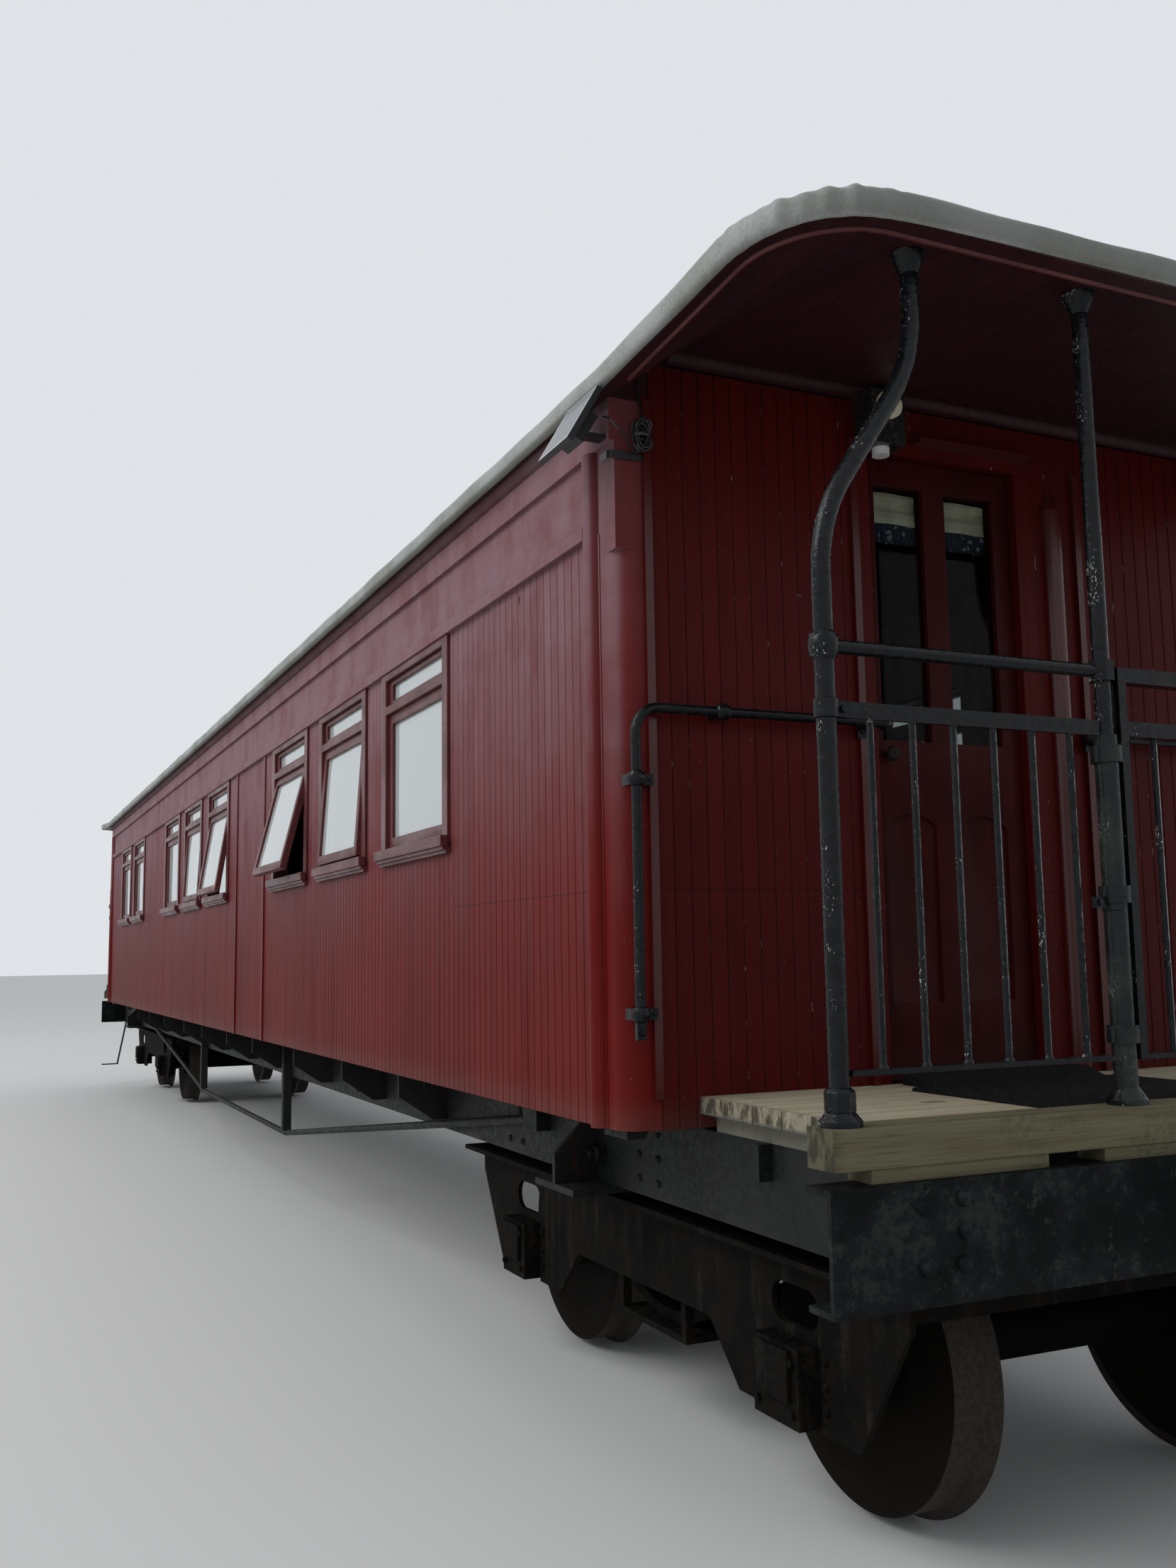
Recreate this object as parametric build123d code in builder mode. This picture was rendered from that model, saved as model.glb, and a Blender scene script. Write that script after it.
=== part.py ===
from build123d import *
import os
from math import cos, radians, sin, sqrt

# Timber passenger coach for 1067 mm gauge, on two four-wheel bogies, with an open platform at each end.
# Frame: X runs along the coach to the photographed end, Y across it and Z up from the floor under the wheels.
# The origin is under the middle of the coach, and all sizes are millimetres.

os.makedirs("parts", exist_ok=True)

# Overall sizes of the body and its platforms
body_length = 13410
body_width = 2440
platform_length = 915
canopy_reach = 995
roof_overhang = 60

# Wheels, and the heights that build up from them
wheel_radius = 381
flange_height = 25
bogie_rise = 294
centre_plate_drop = 45
frame_rise = 285
body_rise = 15
deck_rise = 95

# Steel underframe
solebar_depth = 230
solebar_face = 950
channel_web = 12
channel_flange = 75
flange_thick = 14
headstock_depth = 250
headstock_flange = 90
headstock_inset = 5
bolster_setback = 765
bolster_width = 300
bolster_inset = 120
gusset_nose = 90
cross_member_x = (700, 1600, 2700, 3800, 4500)
cross_member_width = 70
draft_sill_y = 165
plate_thick = 20
king_pin = 30
king_pin_length = 90
centre_plate = 150
bearer_length = 140
bearer_width = 80
bearer_y = 560
bearer_clear = 6

# Truss rods and their posts, outrigger brackets, cleats by the headstocks and step irons under the rear one
truss_out = 25
truss_radius = 16
truss_drop = 565
truss_end_drop = 85
truss_end_setback = 440
queen_x = 1530
queen_width = 50
lug_length = 120
lug_height = 70
bracket_x = (520, 1400, 2540, 3560, 4470)
bracket_thick = 14
bracket_foot = 60
bracket_nose = 90
bracket_rise = 40
cleat_reach = 250
cleat_thick = 26
cleat_out = 40
cleat_height = 90
step_drop = 500
step_lean = 90
step_depth = 180
step_thick = 10
step_y = 930
step_bar = 16

# Timber body: heights are above its bottom edge
wall_thick = 70
side_height = 1987
eave_depth = 55
roof_rise = 358
roof_thick = 60
floor_board = 30
floor_bearer = 100
floor_bays = 16
corner_size = 107
corner_round = 60
corner_stop = 1560
bead_setback = 140
bead_width = 64
fascia_height = 1865
fascia_proud = 15
moulding_height = 1626
moulding_depth = 39
moulding_proud = 22
batten_distance = (4694, 5552)
batten_width = 45
batten_proud = 12

# Windows: distance of each centre from the photographed end, and how far its lower sash stands open
window_table = (
    (1810, 0), (2915, 4), (4020, 14),
    (6250, 9), (7355, 3), (8460, 0),
    (10735, 0), (11840, 0),
)
window_width = 850
window_height = 776
sill_above = 850
frame_face = 45
frame_proud = 16
sill_height = 40
sill_lap = 10
sill_proud = 45
fanlight_height = 108
transom_height = 34
lining_thick = 16
sash_thick = 34
sash_stile = 42
sash_clear = 2
fan_rail = 20
glass_thick = 5
glass_inset = 14

# End wall and door: heights are above the deck
door_low = -372
door_high = 192
door_height = 1880
door_thick = 40
door_gap = 6
knob_height = 955
knob_setback = 45
pane_low = 1000
pane_high = 1789
panel_low = 226
panel_spring = 745
panel_rise = 36
panel_sink = 12
leaf_openings = ((-332, -150), (-66, 121))
hinge_heights = (220, 920, 1660)
hinge_radius = 9
hinge_leaf = 4
hinge_plate = 34
hinge_knuckle = 45
hinge_sides = 8
bead_y = 434
wall_bead = 24
wall_bead_proud = 16
end_post_y = 331
end_post_radius = 36
end_post_height = 1841
end_post_tip = 6
ledge_low = -205
ledge_high = 225
ledge_depth = 50
ledge_rise = 36
ledge_thick = 24

# Platforms
deck_board = 45
deck_boards = 6
deck_joint = 4
deck_inset = 220
joist_width = 45
end_beam_width = 95
end_beam_rise = 20
end_beam_depth = 85
end_beam_inset = 25
end_beam_setback = 15
block_y = (-865, -235, 235, 865)
block_length = 470
block_width = 85

# Canopies: the boarded ceiling slopes down from the end wall to the front rim
ceiling_height = 2140
ceiling_fall = 84
front_band_low = 2045
front_band_high = 2100
front_crown = 12
canopy_corner = 300
rim_width = 45
rim_skin = 20
front_rim = 60
cut_below = 5

# Platform posts and railings: heights are above the deck
post_setback = 64
post_inset = 80
gate_post_y = 349
post_radius = 20
outer_post_radius = 22
sleeve_radius = 27
foot_radius = 46
foot_rise = 12
foot_height = 40
bell_radius = 42
bell_height = 50
rail_top = 1033
rail_second = 895
rail_low = 127
rail_radius = 16
socket_reach = 29
socket_height = 50
socket_sides = 8
flat_height = 36
flat_thick = 12
panel_bars = 6
gate_bars = 5
baluster_radius = 8
baluster_sides = 6
neck_low = 1318
neck_high = 1722
neck_shift = 273
neck_radius = 385
gate_stile = 24
gate_gap = 6
gate_depth = 36
gate_drop = 6
ring_height = 40
ring_wall = 9
ring_clear = 0.4
ring_rise = (160, 481, 812)

# Handrails: heights are above the body's bottom edge
handrail_radius = 14
handrail_stand = 60
handrail_inset = 20
handrail_low = 283
handrail_high = 1112
handrail_bend = 70
handrail_end = 395
handrail_knob = 24
handrail_foot = 72
handrail_clip = 30
handrail_clips = (303, 919)
handrail_stay_y = 933

# Lamps at the end doors, and the solar lamp on the photographed corner
lamp_y = 355
lamp_height = 1950
lamp_width = 120
lamp_depth = 90
lamp_tall = 165
lens_radius = 43
lens_rise = 118
lens_thick = 12
dome_radius = 26
dome_height = 24
solar_width = 200
solar_length = 185
solar_thick = 18
solar_lean = 30
solar_out = 49
solar_height = 1975
solar_reach = 70
solar_case = 36
stay_width = 40
stay_thick = 12
stay_height = 1880

# Couplers
coupler_drop = 135
coupler_shank = 90
coupler_reach = 300
coupler_tail = 600
buffer_radius = 150
buffer_thick = 60
coupler_pin = 36
shank_clear = 10

# Bogies
wheelbase = 1820
frame_beyond = 74
web_y = 800
web_thick = 16
top_flange = 100
nose_depth = 100
belly_drop = 136
belly_out = 270
belly_in = 290
arch_in = 450
arch_rise = 160
horn_width = 210
horn_rise = 72
slot_length = 220
slot_height = 100
slot_rise = 150
end_rail_width = 70
end_rail_depth = 80
end_rail_setback = 45
rail_sink = 10
transom_x = 215
transom_width = 70
transom_depth = 165
bolster_half = 720
bolster_depth = 140
bolster_side_clear = 6
spring_y = 655
spring_width = 100
spring_half = 330
spring_rise = 105
spring_leaf = 32
spring_tip = 60
spring_seat = 2
plank_thick = 20
hanger = 30
box_half_height = 98
box_out = 80
box_in = 70
lid_thick = 14
lid_width = 150
lid_height = 126
guide_clear = 0.3

# Wheelsets
tread_inner = 495
tread_width = 127
flange_width = 32
rim_depth = 56
web_plate = 75
axle_radius = 68
journal_radius = 52
journal_end = 850
hub_radius = 115
hub_out = 15
running_clear = 0.4
seat_gap = 0.3
plate_gap = 0.4

# Derived places
half = body_length / 2
skin = body_width / 2
inner = skin - wall_thick
nose = half + platform_length
axle_z = wheel_radius + flange_height
bogie_top = axle_z + bogie_rise
centre_plate_z = bogie_top - centre_plate_drop
frame_top = bogie_top + frame_rise
body_bottom = frame_top + body_rise
deck_top = frame_top + deck_rise
eave_bottom = body_bottom + side_height
eave_top = eave_bottom + eave_depth
crown_top = eave_top + roof_rise
bolster_x = half - bolster_setback
ends = (("front", 1), ("rear", -1))


def keep(piece, node):
    """Name a finished piece and write it as one STEP file."""
    piece.part.label = node
    export_step(piece.part, f"parts/{node}.step")


# Two rolled channels run the whole length under the body sides, web outwards
solebar_low = frame_top - solebar_depth
with BuildPart() as sole_bars:
    with BuildSketch(Plane.YZ.offset(headstock_flange - nose)):
        with BuildLine():
            y_in = solebar_face - channel_flange
            y_web = solebar_face - channel_web
            Polyline(
                (solebar_face, frame_top), (y_in, frame_top), (y_in, frame_top - flange_thick),
                (y_web, frame_top - flange_thick), (y_web, solebar_low + flange_thick),
                (y_in, solebar_low + flange_thick), (y_in, solebar_low),
                (solebar_face, solebar_low), close=True,
            )
        make_face()
    extrude(amount=2 * (nose - headstock_flange))
    mirror(about=Plane.XZ)
keep(sole_bars, "sole_bars")

# Heavy channel across each end, with a square hole for the coupler shank
coupler_z = frame_top - coupler_drop
headstock_low = frame_top - headstock_depth
headstock_half = skin - headstock_inset
shank_hole = coupler_shank + 2 * shank_clear
with BuildPart() as headstocks:
    with BuildSketch(Plane.XZ.offset(-headstock_half)):
        with BuildLine():
            x_back = nose - headstock_flange
            x_web = nose - channel_web
            Polyline(
                (nose, frame_top), (x_back, frame_top), (x_back, frame_top - flange_thick),
                (x_web, frame_top - flange_thick), (x_web, headstock_low + flange_thick),
                (x_back, headstock_low + flange_thick), (x_back, headstock_low),
                (nose, headstock_low), close=True,
            )
        make_face()
    extrude(amount=2 * headstock_half)
    with BuildSketch(Plane.YZ.offset(nose - headstock_flange)):
        with Locations((0, coupler_z)):
            Rectangle(shank_hole, shank_hole)
    extrude(amount=headstock_flange, mode=Mode.SUBTRACT)
    mirror(about=Plane.YZ)
keep(headstocks, "headstocks")

# Cross members between the sole bar webs, each a channel that stands between their flanges
inside_web = solebar_face - channel_web
cross_low = solebar_low + flange_thick
cross_high = frame_top - flange_thick
cross_middle = (cross_low + cross_high) / 2
with BuildPart() as cross_members:
    for x in cross_member_x:
        x_far = x + cross_member_width
        x_web = x + channel_web
        with BuildSketch(Plane.XZ.offset(-inside_web)):
            with BuildLine():
                Polyline(
                    (x, cross_low), (x_far, cross_low), (x_far, cross_low + channel_web),
                    (x_web, cross_low + channel_web), (x_web, cross_high - channel_web),
                    (x_far, cross_high - channel_web), (x_far, cross_high), (x, cross_high), close=True,
                )
            make_face()
        extrude(amount=2 * inside_web)
    mirror(about=Plane.YZ)
keep(cross_members, "cross_members")

# Draft sills that carry the coupler, from the body bolster to the headstock
draft_start = bolster_x + bolster_width / 2
with BuildPart() as draft_sills:
    with BuildSketch(Plane.YZ.offset(draft_start)):
        with Locations((draft_sill_y, cross_middle), (-draft_sill_y, cross_middle)):
            Rectangle(plate_thick, cross_high - cross_low)
    extrude(amount=nose - headstock_flange - draft_start)
    mirror(about=Plane.YZ)
keep(draft_sills, "draft_sills")

# Body bolsters: two webs on a tie plate that runs out under the body sides, with gussets, a centre plate,
# side bearers and the king pin
tie_plate_low = solebar_low - plate_thick
bolster_end = skin - bolster_inset
with BuildPart() as body_bolsters:
    for x in (bolster_x - bolster_width / 2, bolster_x + bolster_width / 2 - plate_thick):
        with BuildSketch(Plane.YZ.offset(x)):
            with Locations((0, cross_middle)):
                Rectangle(2 * inside_web, cross_high - cross_low)
        extrude(amount=plate_thick)
    with BuildSketch(Plane.XY.offset(tie_plate_low)):
        with Locations((bolster_x, 0)):
            Rectangle(bolster_width, 2 * bolster_end)
    extrude(amount=plate_thick)
    with BuildSketch(Plane.XY.offset(solebar_low)):
        with Locations((bolster_x, 0)):
            Rectangle(bolster_width, 2 * (solebar_face - channel_flange))
    extrude(amount=flange_thick)
    with BuildSketch(Plane.YZ.offset(bolster_x - plate_thick / 2)):
        with BuildLine():
            Polyline(
                (solebar_face, solebar_low), (bolster_end, solebar_low),
                (bolster_end, solebar_low + gusset_nose), (solebar_face, frame_top), close=True,
            )
        make_face()
        mirror(about=Plane.YZ)
    extrude(amount=plate_thick)
    with BuildSketch(Plane.XY.offset(centre_plate_z + plate_gap)):
        with Locations((bolster_x, 0)):
            Circle(centre_plate)
    extrude(amount=tie_plate_low - centre_plate_z - plate_gap)
    with BuildSketch(Plane.XY.offset(centre_plate_z + bearer_clear)):
        with Locations((bolster_x, bearer_y), (bolster_x, -bearer_y)):
            Rectangle(bearer_length, bearer_width)
    extrude(amount=tie_plate_low - centre_plate_z - bearer_clear)
    with BuildSketch(Plane.XY.offset(centre_plate_z - king_pin_length)):
        with Locations((bolster_x, 0)):
            Circle(king_pin)
    extrude(amount=king_pin_length + plate_gap)
    mirror(about=Plane.YZ)
keep(body_bolsters, "body_bolsters")

# One truss rod outside each sole bar, bent at the queen posts and pinned to a lug on the web near each bolster
truss_y = solebar_face + truss_out
truss_low = frame_top - truss_drop
truss_end_x = bolster_x - truss_end_setback
truss_end_z = frame_top - truss_end_drop
with BuildPart() as truss_rods:
    with BuildLine() as rod_path:
        Polyline(
            (-truss_end_x, truss_y, truss_end_z), (-queen_x, truss_y, truss_low),
            (queen_x, truss_y, truss_low), (truss_end_x, truss_y, truss_end_z),
        )
    with BuildSketch(Plane(origin=rod_path.line @ 0, z_dir=rod_path.line % 0)):
        Circle(truss_radius)
    sweep(transition=Transition.RIGHT)
    with BuildSketch(Plane.XZ.offset(-solebar_face)):
        with Locations((-truss_end_x, truss_end_z), (truss_end_x, truss_end_z)):
            Rectangle(lug_length, lug_height)
    extrude(amount=-2 * truss_out)
    mirror(about=Plane.XZ)
keep(truss_rods, "truss_rods")

# Queen posts stand on the rods and are riveted to the sole bar webs
rod_slope = (truss_end_z - truss_low) / (truss_end_x - queen_x)
queen_low = truss_low + truss_radius + rod_slope * queen_width / 2 + seat_gap
with BuildPart() as queen_posts:
    with BuildSketch(Plane.XY.offset(queen_low)):
        with Locations((queen_x, solebar_face + queen_width / 2)):
            Rectangle(queen_width, queen_width)
    extrude(amount=frame_top - queen_low)
    mirror(about=Plane.XZ)
    mirror(about=Plane.YZ)
keep(queen_posts, "queen_posts")

# Outrigger brackets on the sole bar webs carry the body sides, and a cleat stands by each headstock
bracket_out = skin - bracket_foot
bracket_low = solebar_low + bracket_rise
with BuildPart() as body_brackets:
    for x in bracket_x:
        with BuildSketch(Plane.YZ.offset(x - bracket_thick / 2)):
            with BuildLine():
                Polyline(
                    (solebar_face, bracket_low), (solebar_face + bracket_foot, bracket_low),
                    (bracket_out, frame_top - bracket_nose), (bracket_out, frame_top),
                    (solebar_face, frame_top), close=True,
                )
            make_face()
            mirror(about=Plane.YZ)
        extrude(amount=bracket_thick)
    with BuildSketch(Plane.YZ.offset(half + cleat_reach)):
        for side in (-1, 1):
            with Locations((side * (solebar_face + cleat_out / 2), frame_top - cleat_height / 2)):
                Rectangle(cleat_out, cleat_height)
    extrude(amount=cleat_thick)
    mirror(about=Plane.YZ)
keep(body_brackets, "body_brackets")

# Step irons hang from the rear headstock: two flat bars that lean outwards to a tread
step_z = headstock_low - step_drop
tread_y = step_y + step_lean
with BuildPart() as step_irons:
    with BuildSketch(Plane.XY.offset(step_z)):
        with Locations((headstock_flange / 2 - nose, tread_y + step_depth / 2)):
            Rectangle(headstock_flange, step_depth)
    extrude(amount=step_thick)
    for x in (-nose, headstock_flange - step_bar - nose):
        with BuildSketch(Plane.YZ.offset(x)):
            with BuildLine():
                Polyline(
                    (step_y, headstock_low), (step_y + step_thick, headstock_low),
                    (tread_y + step_thick, step_z + step_thick), (tread_y, step_z + step_thick), close=True,
                )
            make_face()
        extrude(amount=step_bar)
    mirror(about=Plane.XZ)
keep(step_irons, "step_irons")

# Windows: the hole in the wall leaves its frame standing proud round it
window_x = [half - distance for distance, opened in window_table]
window_low = body_bottom + sill_above
window_high = window_low + window_height
hole_width = window_width - 2 * frame_face
hole_low = window_low + sill_height - sill_lap
hole_high = window_high - lining_thick
hole_middle = (hole_low + hole_high) / 2
hole_height = hole_high - hole_low

# Side walls with their window openings; the right one is the left one mirrored
with BuildPart() as side_wall_left:
    with BuildSketch(Plane.XZ.offset(skin)):
        with Locations((0, (body_bottom + eave_bottom) / 2)):
            Rectangle(body_length - 2 * corner_size, side_height)
        for x in window_x:
            with Locations((x, hole_middle)):
                Rectangle(hole_width, hole_height, mode=Mode.SUBTRACT)
    extrude(amount=-wall_thick)
keep(side_wall_left, "side_wall_left")
with BuildPart() as side_wall_right:
    add(mirror(side_wall_left.part, about=Plane.XZ))
keep(side_wall_right, "side_wall_right")

# Corner posts: square at the top, rounded below the stop
with BuildPart() as corner_posts:
    with BuildSketch(Plane.XY.offset(body_bottom)):
        with Locations((half - corner_size / 2, corner_size / 2 - skin)):
            Rectangle(corner_size, corner_size)
    extrude(amount=side_height)
    with BuildSketch(Plane.XY.offset(body_bottom)):
        with Locations((half - corner_round / 2, corner_round / 2 - skin)):
            Rectangle(corner_round, corner_round)
        with Locations((half - corner_round, corner_round - skin)):
            Circle(corner_round, mode=Mode.SUBTRACT)
    extrude(amount=corner_stop, mode=Mode.SUBTRACT)
    mirror(about=Plane.XZ)
    mirror(about=Plane.YZ)
keep(corner_posts, "corner_posts")

# Floor: cross bearers on the sole bars, with boards over them, notched round the corner posts
floor_length = body_length - 2 * wall_thick
with BuildPart() as floor:
    with BuildSketch(Plane.XY.offset(deck_top - floor_board)):
        Rectangle(floor_length, 2 * inner)
    extrude(amount=floor_board)
    with BuildSketch(Plane.XY.offset(frame_top)):
        with GridLocations((floor_length - floor_bearer) / floor_bays, 1, floor_bays + 1, 1):
            Rectangle(floor_bearer, 2 * inner)
    extrude(amount=deck_rise - floor_board)
    add(corner_posts.part, mode=Mode.SUBTRACT)
keep(floor, "floor")

# End walls between the corner posts, with the doorway and an arched top under the roof
door_head = deck_top + door_height
door_middle = (door_low + door_high) / 2
with BuildPart() as end_wall_front:
    with BuildSketch(Plane.YZ.offset(half - wall_thick)):
        with Locations((0, (body_bottom + eave_bottom) / 2)):
            Rectangle(2 * (skin - corner_size), side_height)
        with BuildLine():
            Line((-inner, eave_bottom), (inner, eave_bottom))
            ThreePointArc((inner, eave_bottom), (0, crown_top - roof_thick), (-inner, eave_bottom))
        make_face()
        with Locations((door_middle, (deck_top + door_head) / 2)):
            Rectangle(door_high - door_low, door_height, mode=Mode.SUBTRACT)
    extrude(amount=wall_thick)
keep(end_wall_front, "end_wall_front")
with BuildPart() as end_wall_rear:
    add(mirror(end_wall_front.part, about=Plane.YZ))
keep(end_wall_rear, "end_wall_rear")

# Mouldings on both sides: upper fascia, window-head moulding, battens and the half-round beads
moulding_low = body_bottom + moulding_height
fascia_low = body_bottom + fascia_height
bead_x = half - bead_setback
with BuildPart() as side_mouldings:
    with BuildSketch(Plane.XZ.offset(skin)):
        with Locations((0, (fascia_low + eave_bottom) / 2)):
            Rectangle(body_length, eave_bottom - fascia_low)
    extrude(amount=fascia_proud)
    with BuildSketch(Plane.XZ.offset(skin)):
        with Locations((0, moulding_low + moulding_depth / 2)):
            Rectangle(2 * bead_x - bead_width, moulding_depth)
    extrude(amount=moulding_proud)
    with BuildSketch(Plane.XZ.offset(skin)):
        for distance in batten_distance:
            with Locations((half - distance, body_bottom + moulding_height / 2)):
                Rectangle(batten_width, moulding_height)
    extrude(amount=batten_proud)
    with BuildSketch(Plane.XY.offset(body_bottom)):
        for x in (-bead_x, bead_x):
            with Locations((x, -skin)):
                Circle(bead_width / 2)
        with Locations((0, bead_width / 2 - skin)):
            Rectangle(body_length, bead_width, mode=Mode.SUBTRACT)
    extrude(amount=fascia_height)
    mirror(about=Plane.XZ)
keep(side_mouldings, "side_mouldings")

# Window frames: a planted architrave, the lining through the wall, the transom bar and the sill
light_width = hole_width - 2 * lining_thick
light_low = hole_low + lining_thick
light_high = hole_high - lining_thick
transom_high = light_high - fanlight_height
transom_low = transom_high - transom_height
with BuildPart() as window_frames:
    for x in window_x:
        with BuildSketch(Plane.XZ.offset(skin)):
            with Locations((x, (window_low + window_high) / 2)):
                Rectangle(window_width, window_height)
            with Locations((x, hole_middle)):
                Rectangle(hole_width, hole_height, mode=Mode.SUBTRACT)
        extrude(amount=frame_proud)
        with BuildSketch(Plane.XZ.offset(skin + frame_proud)):
            with Locations((x, hole_middle)):
                Rectangle(hole_width, hole_height)
            with Locations((x, (light_low + transom_low) / 2)):
                Rectangle(light_width, transom_low - light_low, mode=Mode.SUBTRACT)
            with Locations((x, (transom_high + light_high) / 2)):
                Rectangle(light_width, light_high - transom_high, mode=Mode.SUBTRACT)
        extrude(amount=-wall_thick - frame_proud)
        with BuildSketch(Plane.XZ.offset(skin + frame_proud)):
            with Locations((x, window_low + sill_height / 2)):
                Rectangle(window_width + 2 * sill_lap, sill_height)
        extrude(amount=sill_proud - frame_proud)
    mirror(about=Plane.XZ)
keep(window_frames, "window_frames")

# Sashes: fixed fanlight sash above the transom, top-hung awning sash below it, open as the table says
sash_width = light_width - 2 * sash_clear
sash_low = light_low + sash_clear
sash_high = transom_low - seat_gap
sash_depth = sash_high - sash_low
fan_low = transom_high + seat_gap
fan_high = light_high - sash_clear
fan_middle = (fan_low + fan_high) / 2
sash_light = sash_width - 2 * sash_stile


def sash_plane(x, opened, side):
    """Plane of a sash: it hangs at the transom on the outer face and swings out by its angle."""
    lean = radians(opened)
    return Plane(
        origin=(x, side * skin, sash_high), x_dir=(-side, 0, 0), z_dir=(0, side * cos(lean), sin(lean)),
    )


sash_places = [(half - distance, opened, -1) for distance, opened in window_table]
sash_places += [(half - distance, 0, 1) for distance, opened in window_table]
with BuildPart() as window_sashes:
    for x, opened, side in sash_places:
        with BuildSketch(sash_plane(x, opened, side)):
            with Locations((0, -sash_depth / 2)):
                Rectangle(sash_width, sash_depth)
                Rectangle(sash_light, sash_depth - 2 * sash_stile, mode=Mode.SUBTRACT)
        extrude(amount=-sash_thick)
        with BuildSketch(Plane.XZ.offset(-side * skin)):
            with Locations((x, fan_middle)):
                Rectangle(sash_width, fan_high - fan_low)
                Rectangle(sash_light, fan_high - fan_low - 2 * fan_rail, mode=Mode.SUBTRACT)
        extrude(amount=side * sash_thick)
keep(window_sashes, "window_sashes")

# One pane in each sash, let in behind the face of its stiles
with BuildPart() as window_glass:
    for x, opened, side in sash_places:
        with BuildSketch(sash_plane(x, opened, side).offset(-glass_inset)):
            with Locations((0, -sash_depth / 2)):
                Rectangle(sash_light, sash_depth - 2 * sash_stile)
        extrude(amount=-glass_thick)
        with BuildSketch(Plane.XZ.offset(-side * (skin - glass_inset))):
            with Locations((x, fan_middle)):
                Rectangle(sash_light, fan_high - fan_low - 2 * fan_rail)
        extrude(amount=side * glass_thick)
keep(window_glass, "window_glass")

# Roof: an arched shell that stands on the side walls
edge = skin + roof_overhang
with BuildPart() as roof:
    with BuildSketch(Plane.YZ.offset(-half)):
        with BuildLine():
            Polyline((inner, eave_bottom), (edge, eave_bottom), (edge, eave_top))
            ThreePointArc((edge, eave_top), (0, crown_top), (-edge, eave_top))
            Polyline((-edge, eave_top), (-edge, eave_bottom), (-inner, eave_bottom))
            ThreePointArc((-inner, eave_bottom), (0, crown_top - roof_thick), (inner, eave_bottom))
        make_face()
    extrude(amount=body_length)
keep(roof, "roof")

# Canopies: each carries the roof on over its platform and drops to a nearly level front edge with rounded
# corners. A boarded ceiling is sunk in its underside, between rims that slope up to where the roof still
# keeps its least thickness.
canopy_front = half + canopy_reach
band_low = body_bottom + front_band_low
band_high = body_bottom + front_band_high
ceiling_z = body_bottom + ceiling_height
rim_x = canopy_front - front_rim
front_half = edge - canopy_corner / 2
arch_radius = (edge ** 2 + roof_rise ** 2) / (2 * roof_rise)
arch_drop = crown_top - rim_skin - ceiling_z
rim_slope = edge - rim_width - sqrt(arch_radius ** 2 - (arch_radius - arch_drop) ** 2)
canopy_sections = (
    (half, eave_bottom, eave_top, crown_top),
    (canopy_front, band_low, band_high, band_high + front_crown),
)
ceiling_sections = (
    (half, edge, eave_bottom, ceiling_z),
    (rim_x, front_half, band_low, ceiling_z - ceiling_fall),
)
with BuildPart() as canopies:
    for x, low, side_top, crown in canopy_sections:
        with BuildSketch(Plane.YZ.offset(x)):
            with BuildLine():
                Polyline((-edge, side_top), (-edge, low), (edge, low), (edge, side_top))
                ThreePointArc((edge, side_top), (0, crown), (-edge, side_top))
            make_face()
    loft(ruled=True)
    front_uprights = canopies.faces().sort_by(Axis.X)[-1].edges().sort_by(Edge.length)[:2]
    fillet(front_uprights, canopy_corner)
    for x, outer, underside, high in ceiling_sections:
        wide = outer - rim_width
        narrow = wide - rim_slope
        low = underside - cut_below
        with BuildSketch(Plane.YZ.offset(x)):
            with BuildLine():
                Polyline((-wide, low), (wide, low), (narrow, high), (-narrow, high), close=True)
            make_face()
    loft(ruled=True, mode=Mode.SUBTRACT)
    mirror(about=Plane.YZ)
keep(canopies, "canopies")

# Platform decks: boards across the coach on two edge joists that stand on the sole bars
beam_front = nose - end_beam_setback
beam_back = beam_front - end_beam_width
deck_half = skin - deck_inset
board_pitch = (beam_back - half + deck_joint) / deck_boards
board_width = board_pitch - deck_joint
with BuildPart() as platform_decks:
    with BuildSketch(Plane.XY.offset(deck_top - deck_board)):
        for i in range(deck_boards):
            with Locations((half + i * board_pitch + board_width / 2, 0)):
                Rectangle(board_width, 2 * deck_half)
    extrude(amount=deck_board)
    with BuildSketch(Plane.XY.offset(frame_top)):
        for side in (-1, 1):
            with Locations(((half + beam_back) / 2, side * (solebar_face - joist_width / 2))):
                Rectangle(beam_back - half, joist_width)
    extrude(amount=deck_rise - deck_board)
    mirror(about=Plane.YZ)
keep(platform_decks, "platform_decks")

# End beams: a squared timber on four packing blocks over the headstock
beam_top = deck_top + end_beam_rise
beam_low = beam_top - end_beam_depth
beam_x = (beam_front + beam_back) / 2
with BuildPart() as end_beams:
    with BuildSketch(Plane.XY.offset(beam_low)):
        with Locations((beam_x, 0)):
            Rectangle(end_beam_width, 2 * (skin - end_beam_inset))
    extrude(amount=end_beam_depth)
    with BuildSketch(Plane.XY.offset(frame_top)):
        for y in block_y:
            with Locations((beam_x, y)):
                Rectangle(block_width, block_length)
    extrude(amount=beam_low - frame_top)
    mirror(about=Plane.YZ)
keep(end_beams, "end_beams")

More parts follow.
